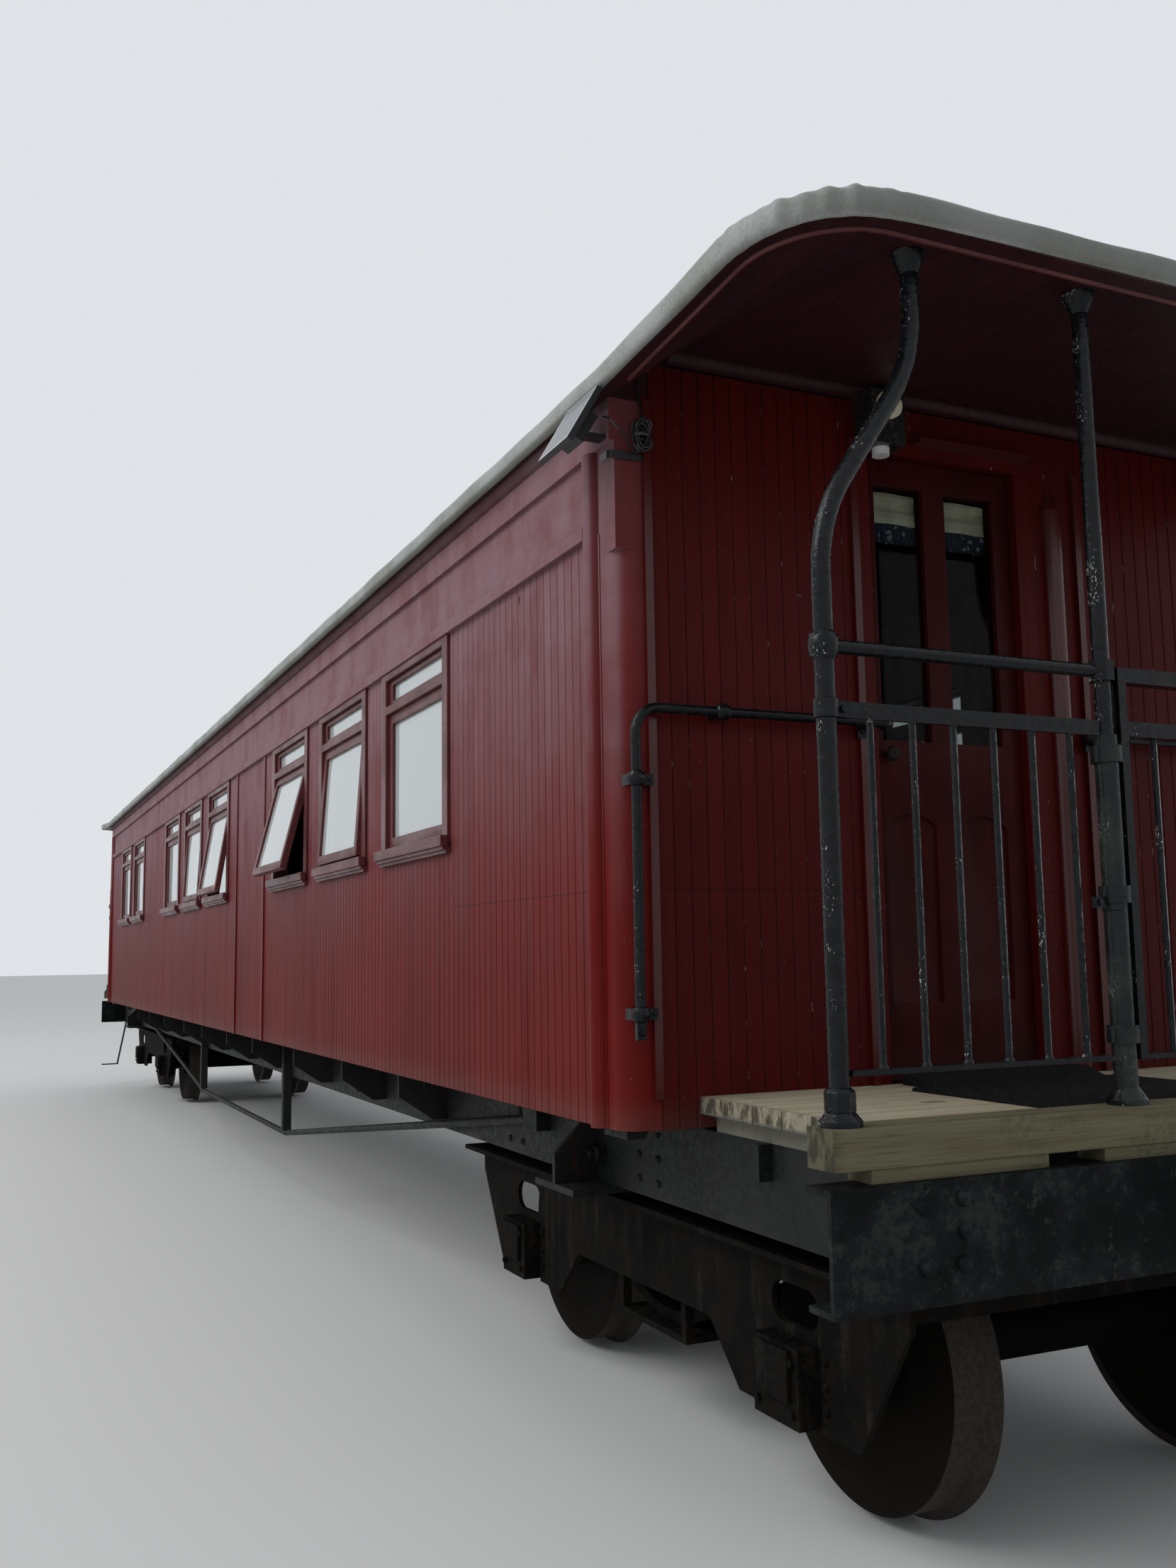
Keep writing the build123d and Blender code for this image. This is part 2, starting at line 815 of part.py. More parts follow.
# Platform posts: a swan-necked one at each corner and a straight one each side of the gangway, with foot and
# head flanges and sockets for the rail. The straight ones are thicker up to the second rail.
post_x = nose - post_setback
post_y = skin - post_inset
shift_y = neck_shift - post_y
rail_z = deck_top + rail_top
second_low = deck_top + rail_second - flat_height / 2
bell_front = post_x + bell_radius - half
post_head = ceiling_z - ceiling_fall * bell_front / (rim_x - half) - seat_gap
post_feet = ((-post_y, outer_post_radius), (-gate_post_y, sleeve_radius))
post_heads = ((shift_y, outer_post_radius), (-gate_post_y, post_radius))
with BuildPart() as platform_posts:
    with BuildLine() as swan_neck:
        FilletPolyline(
            (post_x, -post_y, beam_top), (post_x, -post_y, deck_top + neck_low),
            (post_x, shift_y, deck_top + neck_high), (post_x, shift_y, post_head), radius=neck_radius,
        )
    with BuildSketch(Plane.XY.offset(beam_top)):
        with Locations((post_x, -post_y)):
            Circle(outer_post_radius)
    sweep(path=swan_neck.wires()[0])
    with BuildSketch(Plane.XY.offset(second_low)):
        with Locations((post_x, -gate_post_y)):
            Circle(post_radius)
    extrude(amount=post_head - second_low)
    with BuildSketch(Plane.XY.offset(beam_top)):
        with Locations((post_x, -gate_post_y)):
            Circle(sleeve_radius)
    extrude(amount=second_low - beam_top)
    for y, radius in post_feet:
        with BuildSketch(Plane.YZ.offset(post_x)):
            with BuildLine():
                Polyline(
                    (y, beam_top), (y + foot_radius, beam_top), (y + foot_radius, beam_top + foot_rise),
                    (y + radius, beam_top + foot_height), (y, beam_top + foot_height), close=True,
                )
            make_face()
        revolve(axis=Axis((post_x, y, beam_top), (0, 0, 1)))
    for y, radius in post_heads:
        with BuildSketch(Plane.YZ.offset(post_x)):
            with BuildLine():
                Polyline(
                    (y, post_head), (y + bell_radius, post_head), (y + radius, post_head - bell_height),
                    (y, post_head - bell_height), close=True,
                )
            make_face()
        revolve(axis=Axis((post_x, y, post_head), (0, 0, 1)))
    with BuildSketch(Plane.XY.offset(rail_z - socket_height / 2)):
        with Locations((post_x, -post_y), (post_x, -gate_post_y)):
            RegularPolygon(socket_reach, socket_sides, major_radius=False, rotation=180 / socket_sides)
    extrude(amount=socket_height)
    mirror(about=Plane.XZ)
    mirror(about=Plane.YZ)
keep(platform_posts, "platform_posts")

# Railings at each platform corner: a pipe rail between the sockets, and rods between two flat bars
low_top = deck_top + rail_low + flat_thick / 2
bar_pitch = (post_y - gate_post_y) / (panel_bars + 1)
bar_start = outer_post_radius + seat_gap - post_y
second_end = -gate_post_y - post_radius - seat_gap
low_end = -gate_post_y - sleeve_radius - seat_gap
pipe_end = gate_post_y + socket_reach + seat_gap
with BuildPart() as railings:
    with BuildSketch(Plane.XZ.offset(pipe_end)):
        with Locations((post_x, rail_z)):
            Circle(rail_radius)
    extrude(amount=post_y - socket_reach - seat_gap - pipe_end)
    with BuildSketch(Plane.YZ.offset(post_x - flat_thick / 2)):
        with Locations(((bar_start + second_end) / 2, second_low + flat_height / 2)):
            Rectangle(second_end - bar_start, flat_height)
    extrude(amount=flat_thick)
    with BuildSketch(Plane.XY.offset(low_top - flat_thick)):
        with Locations((post_x, (bar_start + low_end) / 2)):
            Rectangle(flat_height, low_end - bar_start)
    extrude(amount=flat_thick)
    with BuildSketch(Plane.XY.offset(low_top)):
        for i in range(panel_bars):
            with Locations((post_x, (i + 1) * bar_pitch - post_y)):
                RegularPolygon(baluster_radius, baluster_sides)
    extrude(amount=second_low - low_top)
    mirror(about=Plane.XZ)
    mirror(about=Plane.YZ)
keep(railings, "railings")

# Gangway gates: each closes the opening between the inner posts and hangs on rings round the left one
gate_outer = gate_post_y - sleeve_radius - gate_gap
gate_inner = gate_outer - gate_stile
gate_top = rail_z + rail_radius - gate_drop
top_bar_low = gate_top - flat_height
second_high = second_low + flat_height
gate_foot = low_top - flat_thick
for end, sign in ends:
    gate_x = sign * post_x
    with BuildPart() as gate:
        with BuildSketch(Plane.YZ.offset(gate_x - gate_depth / 2)):
            with Locations((0, (gate_top + gate_foot) / 2)):
                Rectangle(2 * gate_outer, gate_top - gate_foot)
            with Locations((0, (low_top + second_low) / 2)):
                Rectangle(2 * gate_inner, second_low - low_top, mode=Mode.SUBTRACT)
            with Locations((0, (second_high + top_bar_low) / 2)):
                Rectangle(2 * gate_inner, top_bar_low - second_high, mode=Mode.SUBTRACT)
        extrude(amount=gate_depth)
        with BuildSketch(Plane.XY.offset(low_top)):
            with Locations((gate_x, 0)):
                with GridLocations(1, 2 * gate_inner / (gate_bars + 1), 1, gate_bars):
                    RegularPolygon(baluster_radius, baluster_sides)
        extrude(amount=second_low - low_top)
        for rise in ring_rise:
            with BuildSketch(Plane.XY.offset(deck_top + rise)):
                with Locations((gate_x, -gate_post_y)):
                    Circle(sleeve_radius + ring_clear + ring_wall)
                with Locations((gate_x, -(gate_outer + gate_post_y) / 2)):
                    Rectangle(flat_thick, gate_post_y - gate_outer)
                with Locations((gate_x, -gate_post_y)):
                    Circle(sleeve_radius + ring_clear, mode=Mode.SUBTRACT)
            extrude(amount=ring_height)
    keep(gate, f"gangway_gate_{end}")

# Handrails: a pipe up the corner post that bends over and runs along the end wall to a knob
rail_x = half + handrail_stand
handrail_y = skin - handrail_inset
pipe_low = body_bottom + handrail_low
high_run = body_bottom + handrail_high
knob_start = handrail_end - handrail_knob
knob_stop = handrail_end + handrail_knob
with BuildPart() as handrails:
    with BuildLine() as pipe:
        FilletPolyline(
            (rail_x, -handrail_y, pipe_low), (rail_x, -handrail_y, high_run), (rail_x, -knob_stop, high_run),
            radius=handrail_bend,
        )
    with BuildSketch(Plane.XY.offset(pipe_low)):
        with Locations((rail_x, -handrail_y)):
            Circle(handrail_radius)
    sweep(path=pipe.wires()[0])
    with BuildSketch(Plane.YZ.offset(rail_x)):
        with BuildLine():
            Polyline(
                (-knob_stop, high_run), (-knob_stop, high_run + handrail_radius),
                (-handrail_end, high_run + handrail_knob), (-knob_start, high_run + handrail_radius),
                (-knob_start, high_run), close=True,
            )
        make_face()
    revolve(axis=Axis((rail_x, -handrail_end, high_run), (0, 1, 0)))
    with BuildSketch(Plane.YZ.offset(half)):
        for rise in handrail_clips:
            with Locations((handrail_foot / 2 - handrail_y - handrail_radius, body_bottom + rise)):
                Rectangle(handrail_foot, handrail_clip)
        with Locations((-handrail_stay_y, high_run)):
            Rectangle(handrail_clip, handrail_clip)
    extrude(amount=handrail_stand - handrail_radius - seat_gap)
    mirror(about=Plane.XZ)
    mirror(about=Plane.YZ)
keep(handrails, "handrails")

# Half-round post with a pointed top beside each end door, thin beads up the end wall, a ledge over the door
corner_bead_y = skin - corner_size + wall_bead / 2 + seat_gap
post_tip = deck_top + end_post_height
post_shoulder = post_tip - 2 * end_post_radius
ledge_z = door_head + ledge_rise
with BuildPart() as door_posts:
    with BuildSketch(Plane.YZ.offset(half)):
        with BuildLine():
            Polyline(
                (end_post_y, deck_top), (end_post_y + end_post_radius, deck_top),
                (end_post_y + end_post_radius, post_shoulder), (end_post_y + end_post_tip, post_tip),
                (end_post_y, post_tip), close=True,
            )
        make_face()
    revolve(axis=Axis((half, end_post_y, deck_top), (0, 0, -1)), revolution_arc=180)
    with BuildSketch(Plane.XY.offset(deck_top)):
        for y in (-corner_bead_y, -bead_y, bead_y, corner_bead_y):
            with Locations((half + wall_bead_proud / 2, y)):
                Rectangle(wall_bead_proud, wall_bead)
    extrude(amount=eave_bottom - deck_top)
    with BuildSketch(Plane.XZ.offset(-ledge_low)):
        with BuildLine():
            Polyline(
                (half, ledge_z + ledge_thick), (half, ledge_z), (half + ledge_depth, ledge_z),
                (half + ledge_depth, ledge_z + ledge_thick / 2), close=True,
            )
        make_face()
    extrude(amount=ledge_low - ledge_high)
    mirror(about=Plane.YZ)
keep(door_posts, "door_posts")

# Lift-off hinges of the end doors: the wall has the lower knuckles and the door the upper ones
hinge_x = half - wall_thick - hinge_radius
hinge_y = door_high - door_gap / 2
leaf_x = half - wall_thick - hinge_leaf / 2
hinge_turn = 180 / hinge_sides
with BuildPart() as door_hinges:
    for height in hinge_heights:
        with BuildSketch(Plane.XY.offset(deck_top + height)):
            with Locations((hinge_x, hinge_y)):
                RegularPolygon(hinge_radius, hinge_sides, major_radius=False, rotation=hinge_turn)
            with Locations((leaf_x, hinge_y + hinge_plate / 2)):
                Rectangle(hinge_leaf, hinge_plate)
        extrude(amount=hinge_knuckle)
    mirror(about=Plane.YZ)
keep(door_hinges, "door_hinges")

# End doors: a leaf with two tall panes over two arch-topped panels, hung on its right edge and opening inwards
leaf_low = door_low + door_gap
leaf_high = door_high - door_gap
leaf_bottom = deck_top + door_gap
leaf_top = door_head - door_gap
knob_y = leaf_low + knob_setback
knob_z = deck_top + knob_height
knob_profile = ((0, 10), (22, 10), (28, 23), (40, 18))
pane_middle = deck_top + (pane_low + pane_high) / 2
panel_foot = deck_top + panel_low
spring_line = deck_top + panel_spring
for end, sign in ends:
    inner_face = sign * (half - wall_thick)
    outer_face = inner_face + sign * door_thick
    with BuildPart() as door:
        with BuildSketch(Plane.YZ.offset(inner_face)):
            with Locations(((leaf_low + leaf_high) / 2, (leaf_bottom + leaf_top) / 2)):
                Rectangle(leaf_high - leaf_low, leaf_top - leaf_bottom)
            for low, high in leaf_openings:
                with Locations(((low + high) / 2, pane_middle)):
                    Rectangle(high - low, pane_high - pane_low, mode=Mode.SUBTRACT)
        extrude(amount=sign * door_thick)
        for face in (outer_face, inner_face + sign * panel_sink):
            with BuildSketch(Plane.YZ.offset(face)):
                for low, high in leaf_openings:
                    with BuildLine():
                        sides = ((low, spring_line), (low, panel_foot), (high, panel_foot))
                        Polyline(*sides, (high, spring_line))
                        arch = ((low + high) / 2, spring_line + panel_rise)
                        ThreePointArc((high, spring_line), arch, (low, spring_line))
                    make_face()
            extrude(amount=-sign * panel_sink, mode=Mode.SUBTRACT)
        for height in hinge_heights:
            with BuildSketch(Plane.XY.offset(deck_top + height + hinge_knuckle + seat_gap)):
                with Locations((sign * hinge_x, hinge_y)):
                    RegularPolygon(hinge_radius, hinge_sides, major_radius=False, rotation=hinge_turn)
                with Locations((sign * leaf_x, hinge_y - hinge_plate / 2)):
                    Rectangle(hinge_leaf, hinge_plate)
            extrude(amount=hinge_knuckle)
        with BuildSketch(Plane.XY.offset(knob_z)):
            with BuildLine():
                knob_edge = [(outer_face + sign * out, knob_y + radius) for out, radius in knob_profile]
                Polyline((outer_face, knob_y), *knob_edge, (knob_edge[-1][0], knob_y), close=True)
            make_face()
        revolve(axis=Axis((outer_face, knob_y, knob_z), (1, 0, 0)))
    keep(door, f"end_door_{end}")
    with BuildPart() as panes:
        with BuildSketch(Plane.YZ.offset(inner_face + sign * (door_thick - glass_thick) / 2)):
            for low, high in leaf_openings:
                with Locations(((low + high) / 2, pane_middle)):
                    Rectangle(high - low, pane_high - pane_low)
        extrude(amount=sign * glass_thick)
    keep(panes, f"door_glass_{end}")

# Couplers: a square shank through the headstock to a round buffing head with a vertical pin hole behind it
shank_start = nose - coupler_tail
head_back = nose + coupler_reach - buffer_thick
with BuildPart() as couplers:
    with BuildSketch(Plane.YZ.offset(shank_start)):
        with Locations((0, coupler_z)):
            Rectangle(coupler_shank, coupler_shank)
    extrude(amount=head_back - shank_start)
    with BuildSketch(Plane.YZ.offset(head_back)):
        with Locations((0, coupler_z)):
            Circle(buffer_radius)
    extrude(amount=buffer_thick)
    with BuildSketch(Plane.YZ.offset(shank_start)):
        with Locations((0, coupler_z)):
            Rectangle(2 * draft_sill_y - plate_thick, coupler_shank)
    extrude(amount=buffer_thick)
    with BuildSketch(Plane.XY.offset(coupler_z - coupler_shank)):
        with Locations((head_back - buffer_thick, 0)):
            Circle(coupler_pin / 2)
    extrude(amount=2 * coupler_shank, mode=Mode.SUBTRACT)
    mirror(about=Plane.YZ)
keep(couplers, "couplers")

# Lamps over each end door: a box on the wall with a round lens on its face and a small dome under it
lamp_z = body_bottom + lamp_height
dome_x = half + lamp_depth / 2
with BuildPart() as lamps:
    with BuildSketch(Plane.YZ.offset(half)):
        with Locations((-lamp_y, lamp_z + lamp_tall / 2)):
            Rectangle(lamp_width, lamp_tall)
    extrude(amount=lamp_depth)
    with BuildSketch(Plane.YZ.offset(half + lamp_depth)):
        with Locations((-lamp_y, lamp_z + lens_rise)):
            Circle(lens_radius)
    extrude(amount=lens_thick)
    with BuildSketch(Plane.XY.offset(lamp_z - dome_height)):
        with Locations((dome_x, -lamp_y)):
            Circle(dome_radius)
    extrude(amount=dome_height)
    mirror(about=Plane.YZ)
keep(lamps, "lamps")

# Solar lamp on the photographed corner: a leaning panel under the eave with its case behind, on a stay
fascia_y = skin + fascia_proud
panel_lean = radians(solar_lean)
solar_plane = Plane(
    origin=(half + solar_reach - solar_width / 2, -fascia_y - solar_out, body_bottom + solar_height),
    x_dir=(1, 0, 0), z_dir=(0, -cos(panel_lean), sin(panel_lean)),
)
with BuildPart() as solar_lamp:
    with BuildSketch(solar_plane):
        with Locations((0, -solar_length / 2)):
            Rectangle(solar_width, solar_length)
    extrude(amount=solar_thick)
    with BuildSketch(solar_plane):
        with Locations((0, -solar_length / 2)):
            Rectangle(solar_width / 2, solar_length / 2)
    extrude(amount=-solar_case)
    with BuildSketch(Plane.XZ.offset(fascia_y)):
        with Locations((half - stay_width, body_bottom + stay_height)):
            Rectangle(stay_width, stay_thick)
    extrude(amount=2 * solar_out + solar_thick)
keep(solar_lamp, "solar_lamp")

# Bogies and wheelsets
frame_half = wheelbase / 2 + wheel_radius + flange_height + frame_beyond
belly_z = axle_z - belly_drop
horn_top = axle_z + horn_rise
nose_z = bogie_top - nose_depth
rail_face = bogie_top - rail_sink
transom_foot = rail_face - transom_depth
bolster_low = centre_plate_z - bolster_depth
spring_middle = bolster_low - spring_rise
plank_z = spring_middle - spring_rise + spring_seat - plank_thick
hanger_y = web_y - web_thick - hanger
spring_arcs = (
    (spring_half, spring_rise, Mode.ADD),
    (spring_half - spring_tip, spring_rise - spring_leaf, Mode.SUBTRACT),
)
tread_outer = tread_inner + tread_width
hub_face = tread_outer + hub_out
wheel_side = (
    (tread_inner, axle_radius), (tread_inner, wheel_radius + flange_height),
    (tread_inner + flange_width, wheel_radius), (tread_outer, wheel_radius),
    (tread_outer, wheel_radius - rim_depth), (tread_inner + web_plate, hub_radius),
    (hub_face, hub_radius), (hub_face, journal_radius), (journal_end, journal_radius),
)
for end, sign in ends:
    centre = sign * bolster_x
    wheel_x = (centre - wheelbase / 2, centre + wheelbase / 2)

    # Plate side frames with a top flange, horn gaps and slots, joined by end rails and transoms
    with BuildPart() as bogie_frame:
        with BuildSketch(Plane.XZ.offset(-web_y - web_thick)):
            with BuildLine():
                Polyline(
                    (centre - frame_half, bogie_top), (centre - frame_half, nose_z),
                    (wheel_x[0] - belly_out, belly_z), (wheel_x[0] + belly_in, belly_z),
                    (wheel_x[0] + arch_in, belly_z + arch_rise), (wheel_x[1] - arch_in, belly_z + arch_rise),
                    (wheel_x[1] - belly_in, belly_z), (wheel_x[1] + belly_out, belly_z),
                    (centre + frame_half, nose_z), (centre + frame_half, bogie_top), close=True,
                )
            make_face()
            for x in wheel_x:
                with Locations((x, (belly_z + horn_top) / 2)):
                    Rectangle(horn_width, horn_top - belly_z, mode=Mode.SUBTRACT)
                with Locations((x, axle_z + slot_rise)):
                    SlotOverall(slot_length, slot_height, mode=Mode.SUBTRACT)
        extrude(amount=web_thick)
        with BuildSketch(Plane.XY.offset(bogie_top - web_thick)):
            with Locations((centre, web_y + top_flange / 2)):
                Rectangle(2 * frame_half, top_flange)
        extrude(amount=web_thick)
        mirror(about=Plane.XZ)
        with BuildSketch(Plane.XY.offset(rail_face - end_rail_depth)):
            for x in (centre - frame_half + end_rail_setback, centre + frame_half - end_rail_setback):
                with Locations((x, 0)):
                    Rectangle(end_rail_width, 2 * web_y)
        extrude(amount=end_rail_depth)
        with BuildSketch(Plane.XY.offset(transom_foot)):
            with Locations((centre - transom_x, 0), (centre + transom_x, 0)):
                Rectangle(transom_width, 2 * web_y)
        extrude(amount=transom_depth)
    keep(bogie_frame, f"bogie_{end}_frame")

    # Bolster between the transoms, with the centre hole that takes the king pin
    with BuildPart() as bogie_bolster:
        with BuildSketch(Plane.XZ.offset(-bolster_half)):
            with Locations((centre, bolster_low + bolster_depth / 2)):
                Rectangle(2 * transom_x - transom_width - 2 * bolster_side_clear, bolster_depth)
        extrude(amount=2 * bolster_half)
        with BuildSketch(Plane.XY.offset(bolster_low)):
            with Locations((centre, 0)):
                Circle(king_pin + running_clear)
        extrude(amount=bolster_depth, mode=Mode.SUBTRACT)
    keep(bogie_bolster, f"bogie_{end}_bolster")

    # Elliptic leaf springs under the bolster, on a plank that hangs from the transoms
    with BuildPart() as bogie_springs:
        for side in (-1, 1):
            with BuildSketch(Plane.XZ.offset(side * spring_y - spring_width / 2)):
                for reach, rise, mode in spring_arcs:
                    tips = ((centre - reach, spring_middle), (centre + reach, spring_middle))
                    with BuildLine():
                        ThreePointArc(tips[0], (centre, spring_middle + rise), tips[1])
                        ThreePointArc(tips[1], (centre, spring_middle - rise), tips[0])
                    make_face(mode=mode)
            extrude(amount=spring_width)
        with BuildSketch(Plane.XY.offset(plank_z)):
            with Locations((centre, 0)):
                Rectangle(2 * transom_x + hanger, 2 * hanger_y + hanger)
        extrude(amount=plank_thick)
        with BuildSketch(Plane.XY.offset(plank_z + plank_thick)):
            with Locations((centre, 0)):
                with GridLocations(2 * transom_x, 2 * hanger_y, 2, 2):
                    Rectangle(hanger, hanger)
        extrude(amount=transom_foot - plank_z - plank_thick)
    keep(bogie_springs, f"bogie_{end}_springs")

    # Axleboxes in the horn gaps, each with a lid on its outer face
    with BuildPart() as axleboxes:
        for x in wheel_x:
            with BuildSketch(Plane.XZ.offset(-web_y - box_out)):
                with Locations((x, horn_top - seat_gap - box_half_height)):
                    Rectangle(horn_width - 2 * guide_clear, 2 * box_half_height)
            extrude(amount=box_out + box_in)
            with BuildSketch(Plane.XZ.offset(-web_y - box_out - lid_thick)):
                with Locations((x, axle_z)):
                    Rectangle(lid_width, lid_height)
            extrude(amount=lid_thick)
            with BuildSketch(Plane.XZ.offset(-journal_end - guide_clear)):
                with Locations((x, axle_z)):
                    Circle(journal_radius + running_clear)
            extrude(amount=journal_end, mode=Mode.SUBTRACT)
        mirror(about=Plane.XZ)
    keep(axleboxes, f"bogie_{end}_axleboxes")

    # Each axle with its two dished wheels is one turned piece
    near_side = [(y, axle_z + radius) for y, radius in wheel_side]
    far_side = [(-y, axle_z + radius) for y, radius in reversed(wheel_side)]
    for place, x in (("outer", centre + sign * wheelbase / 2), ("inner", centre - sign * wheelbase / 2)):
        with BuildPart() as wheelset:
            with BuildSketch(Plane.YZ.offset(x)):
                with BuildLine():
                    Polyline((journal_end, axle_z), (-journal_end, axle_z), *far_side, *near_side, close=True)
                make_face()
            revolve(axis=Axis((x, 0, axle_z), (0, 1, 0)))
        keep(wheelset, f"wheelset_{end}_{place}")
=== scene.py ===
import math

import bmesh
import bpy
import numpy as np
from mathutils import Matrix, Vector
from mathutils.bvhtree import BVHTree


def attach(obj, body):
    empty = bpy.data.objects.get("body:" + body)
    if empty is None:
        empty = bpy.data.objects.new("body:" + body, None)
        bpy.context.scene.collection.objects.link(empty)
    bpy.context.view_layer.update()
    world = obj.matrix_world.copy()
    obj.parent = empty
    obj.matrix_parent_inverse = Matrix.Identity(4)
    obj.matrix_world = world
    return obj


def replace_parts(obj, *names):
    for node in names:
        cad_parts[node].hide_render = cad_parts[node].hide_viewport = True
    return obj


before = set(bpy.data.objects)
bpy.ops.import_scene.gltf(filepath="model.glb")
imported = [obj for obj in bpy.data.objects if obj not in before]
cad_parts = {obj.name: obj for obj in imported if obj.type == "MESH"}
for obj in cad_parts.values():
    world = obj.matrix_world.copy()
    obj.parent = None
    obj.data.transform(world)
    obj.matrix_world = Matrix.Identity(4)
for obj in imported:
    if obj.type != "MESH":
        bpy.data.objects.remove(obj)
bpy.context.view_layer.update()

# The camera stands at the photographer's place by the platform, low and close to the near corner.
# Its lens and turn were worked out from points of the body that show in the photograph.
photo_width, photo_height = 1659, 2212
focal_pixels = 1937.8
eye = Vector((9.980, -2.811, 1.461))
yaw, pitch, roll = math.radians(65.42), math.radians(7.05), math.radians(-0.83)
looking = Vector((-math.sin(yaw) * math.cos(pitch), math.cos(yaw) * math.cos(pitch), math.sin(pitch)))
level_right = looking.cross(Vector((0, 0, 1))).normalized()
level_up = level_right.cross(looking)
right = math.cos(roll) * level_right + math.sin(roll) * level_up
up = -math.sin(roll) * level_right + math.cos(roll) * level_up
camera_data = bpy.data.cameras.new("camera")
camera_data.sensor_width = 36
camera_data.lens = camera_data.sensor_width * focal_pixels / max(photo_width, photo_height)
camera = bpy.data.objects.new("camera", camera_data)
camera.matrix_world = Matrix.Translation(eye) @ Matrix((right, up, -looking)).transposed().to_4x4()
bpy.context.scene.collection.objects.link(camera)
bpy.context.scene.camera = camera

# The studio: an even pale sky all round, one broad soft lamp high on the camera's left and a pale floor.
bpy.context.scene.view_settings.view_transform = "Standard"
sky = bpy.data.worlds.new("sky")
sky.use_nodes = True
sky.node_tree.nodes["Background"].inputs["Color"].default_value = (0.93, 0.96, 1.0, 1)
sky.node_tree.nodes["Background"].inputs["Strength"].default_value = 0.8
bpy.context.scene.world = sky
lamp_data = bpy.data.lights.new("broad_lamp", "AREA")
lamp_data.shape, lamp_data.size, lamp_data.size_y = "RECTANGLE", 18, 14
lamp_data.energy = 3400
lamp_aim = Vector((1, 0, 1.5))
lamp = bpy.data.objects.new("broad_lamp", lamp_data)
lamp.location = (3, -20, 19)
lamp.rotation_euler = (lamp_aim - lamp.location).to_track_quat("-Z", "Y").to_euler()
bpy.context.scene.collection.objects.link(lamp)
floor_reach = 150
floor_corners = [(sx * floor_reach, sy * floor_reach, 0) for sx, sy in ((-1, -1), (1, -1), (1, 1), (-1, 1))]
floor_mesh = bpy.data.meshes.new("studio_floor")
floor_mesh.from_pydata(floor_corners, [], [(0, 1, 2, 3)])
studio_floor = bpy.data.objects.new("studio_floor", floor_mesh)
bpy.context.scene.collection.objects.link(studio_floor)
pale = bpy.data.materials.new("pale_floor")
pale.use_nodes = True
pale.node_tree.nodes["Principled BSDF"].inputs["Base Color"].default_value = (0.56, 0.56, 0.55, 1)
pale.node_tree.nodes["Principled BSDF"].inputs["Roughness"].default_value = 0.9
floor_mesh.materials.append(pale)


# Underframe: two rolled channel sole bars with cross members, bolsters and draft sills between them,
# riveted up and braced by truss rods. The steel is painted blue-black and dusty, with streaks of rust.
class Wire:
    """A socket of a material's nodes. Arithmetic on it adds Math nodes, and node() adds any other node."""

    def __init__(self, tree, socket):
        self.tree, self.socket = tree, socket

    def node(self, kind, settings, sockets, output=0):
        """A node of that kind: its settings first, then the values or wires of its sockets."""
        made = self.tree.nodes.new(kind)
        for key, value in settings.items():
            setattr(made, key, value)
        for key, value in sockets.items():
            if isinstance(value, Wire):
                self.tree.links.new(value.socket, made.inputs[key])
            else:
                made.inputs[key].default_value = value
        return Wire(self.tree, made.outputs[output])

    def maths(self, operation, *values):
        """A Math node of that operation on the values."""
        return self.node("ShaderNodeMath", {"operation": operation}, dict(enumerate(values)))

    def sine(self):
        """Its sine, in radians."""
        return self.maths("SINE", self)

    def __abs__(self):
        return self.maths("ABSOLUTE", self)

    def __add__(self, other):
        return self.maths("ADD", self, other)

    def __sub__(self, other):
        return self.maths("SUBTRACT", self, other)

    def __rsub__(self, other):
        return self.maths("SUBTRACT", other, self)

    def __mul__(self, other):
        return self.maths("MULTIPLY", self, other)

    def __mod__(self, other):
        return self.maths("FLOORED_MODULO", self, other)

    __radd__, __rmul__ = __add__, __mul__


def new_finish(name, slot):
    """A new material that stands for a slot of the record, its shader, and the Object coordinates of what wears it."""
    made = bpy.data.materials.new(name)
    made["slot"] = slot
    made.use_nodes = True
    tree = made.node_tree
    start = Wire(tree, None)
    return made, tree.nodes["Principled BSDF"], start.node("ShaderNodeTexCoord", {}, {}, "Object")


def stretched(place, x, y, z):
    """The coordinates multiplied by one factor along each axis."""
    return place.node("ShaderNodeVectorMath", {"operation": "MULTIPLY"}, {0: place, 1: (x, y, z)})


def cloudy(place, scale, detail=4.0, rough=0.55):
    """Fractal noise from 0 to 1, of that many waves to the metre."""
    return place.node(
        "ShaderNodeTexNoise", {"noise_dimensions": "3D"},
        {"Vector": place, "Scale": scale, "Detail": detail, "Roughness": rough}, "Fac",
    )


def ramp(value, low, high, start=0.0, end=1.0):
    """A smooth step from start, where the value is low, to end, where it is high."""
    return value.node(
        "ShaderNodeMapRange", {"interpolation_type": "SMOOTHSTEP"},
        {"Value": value, "From Min": low, "From Max": high, "To Min": start, "To Max": end},
    )


def blended(share, first, second):
    """The first colour where the share is 0 and the second where it is 1."""
    first, second = ((c if isinstance(c, Wire) else (*c, 1)) for c in (first, second))
    return share.node("ShaderNodeMix", {"data_type": "RGBA"}, {0: share, 6: first, 7: second}, 2)


def coated(colour, *coats):
    """The colour under coats of paint and dirt. Each coat is a tint and what ramp() takes: a wire, the values
    between which it comes on, and its least and greatest share."""
    for tint, *step in coats:
        colour = blended(ramp(*step), colour, tint)
    return colour


def split(place):
    """The three parts of a place or a direction as wires."""
    parts = place.node("ShaderNodeSeparateXYZ", {}, {0: place})
    return [Wire(place.tree, parts.socket.node.outputs[i]) for i in range(3)]


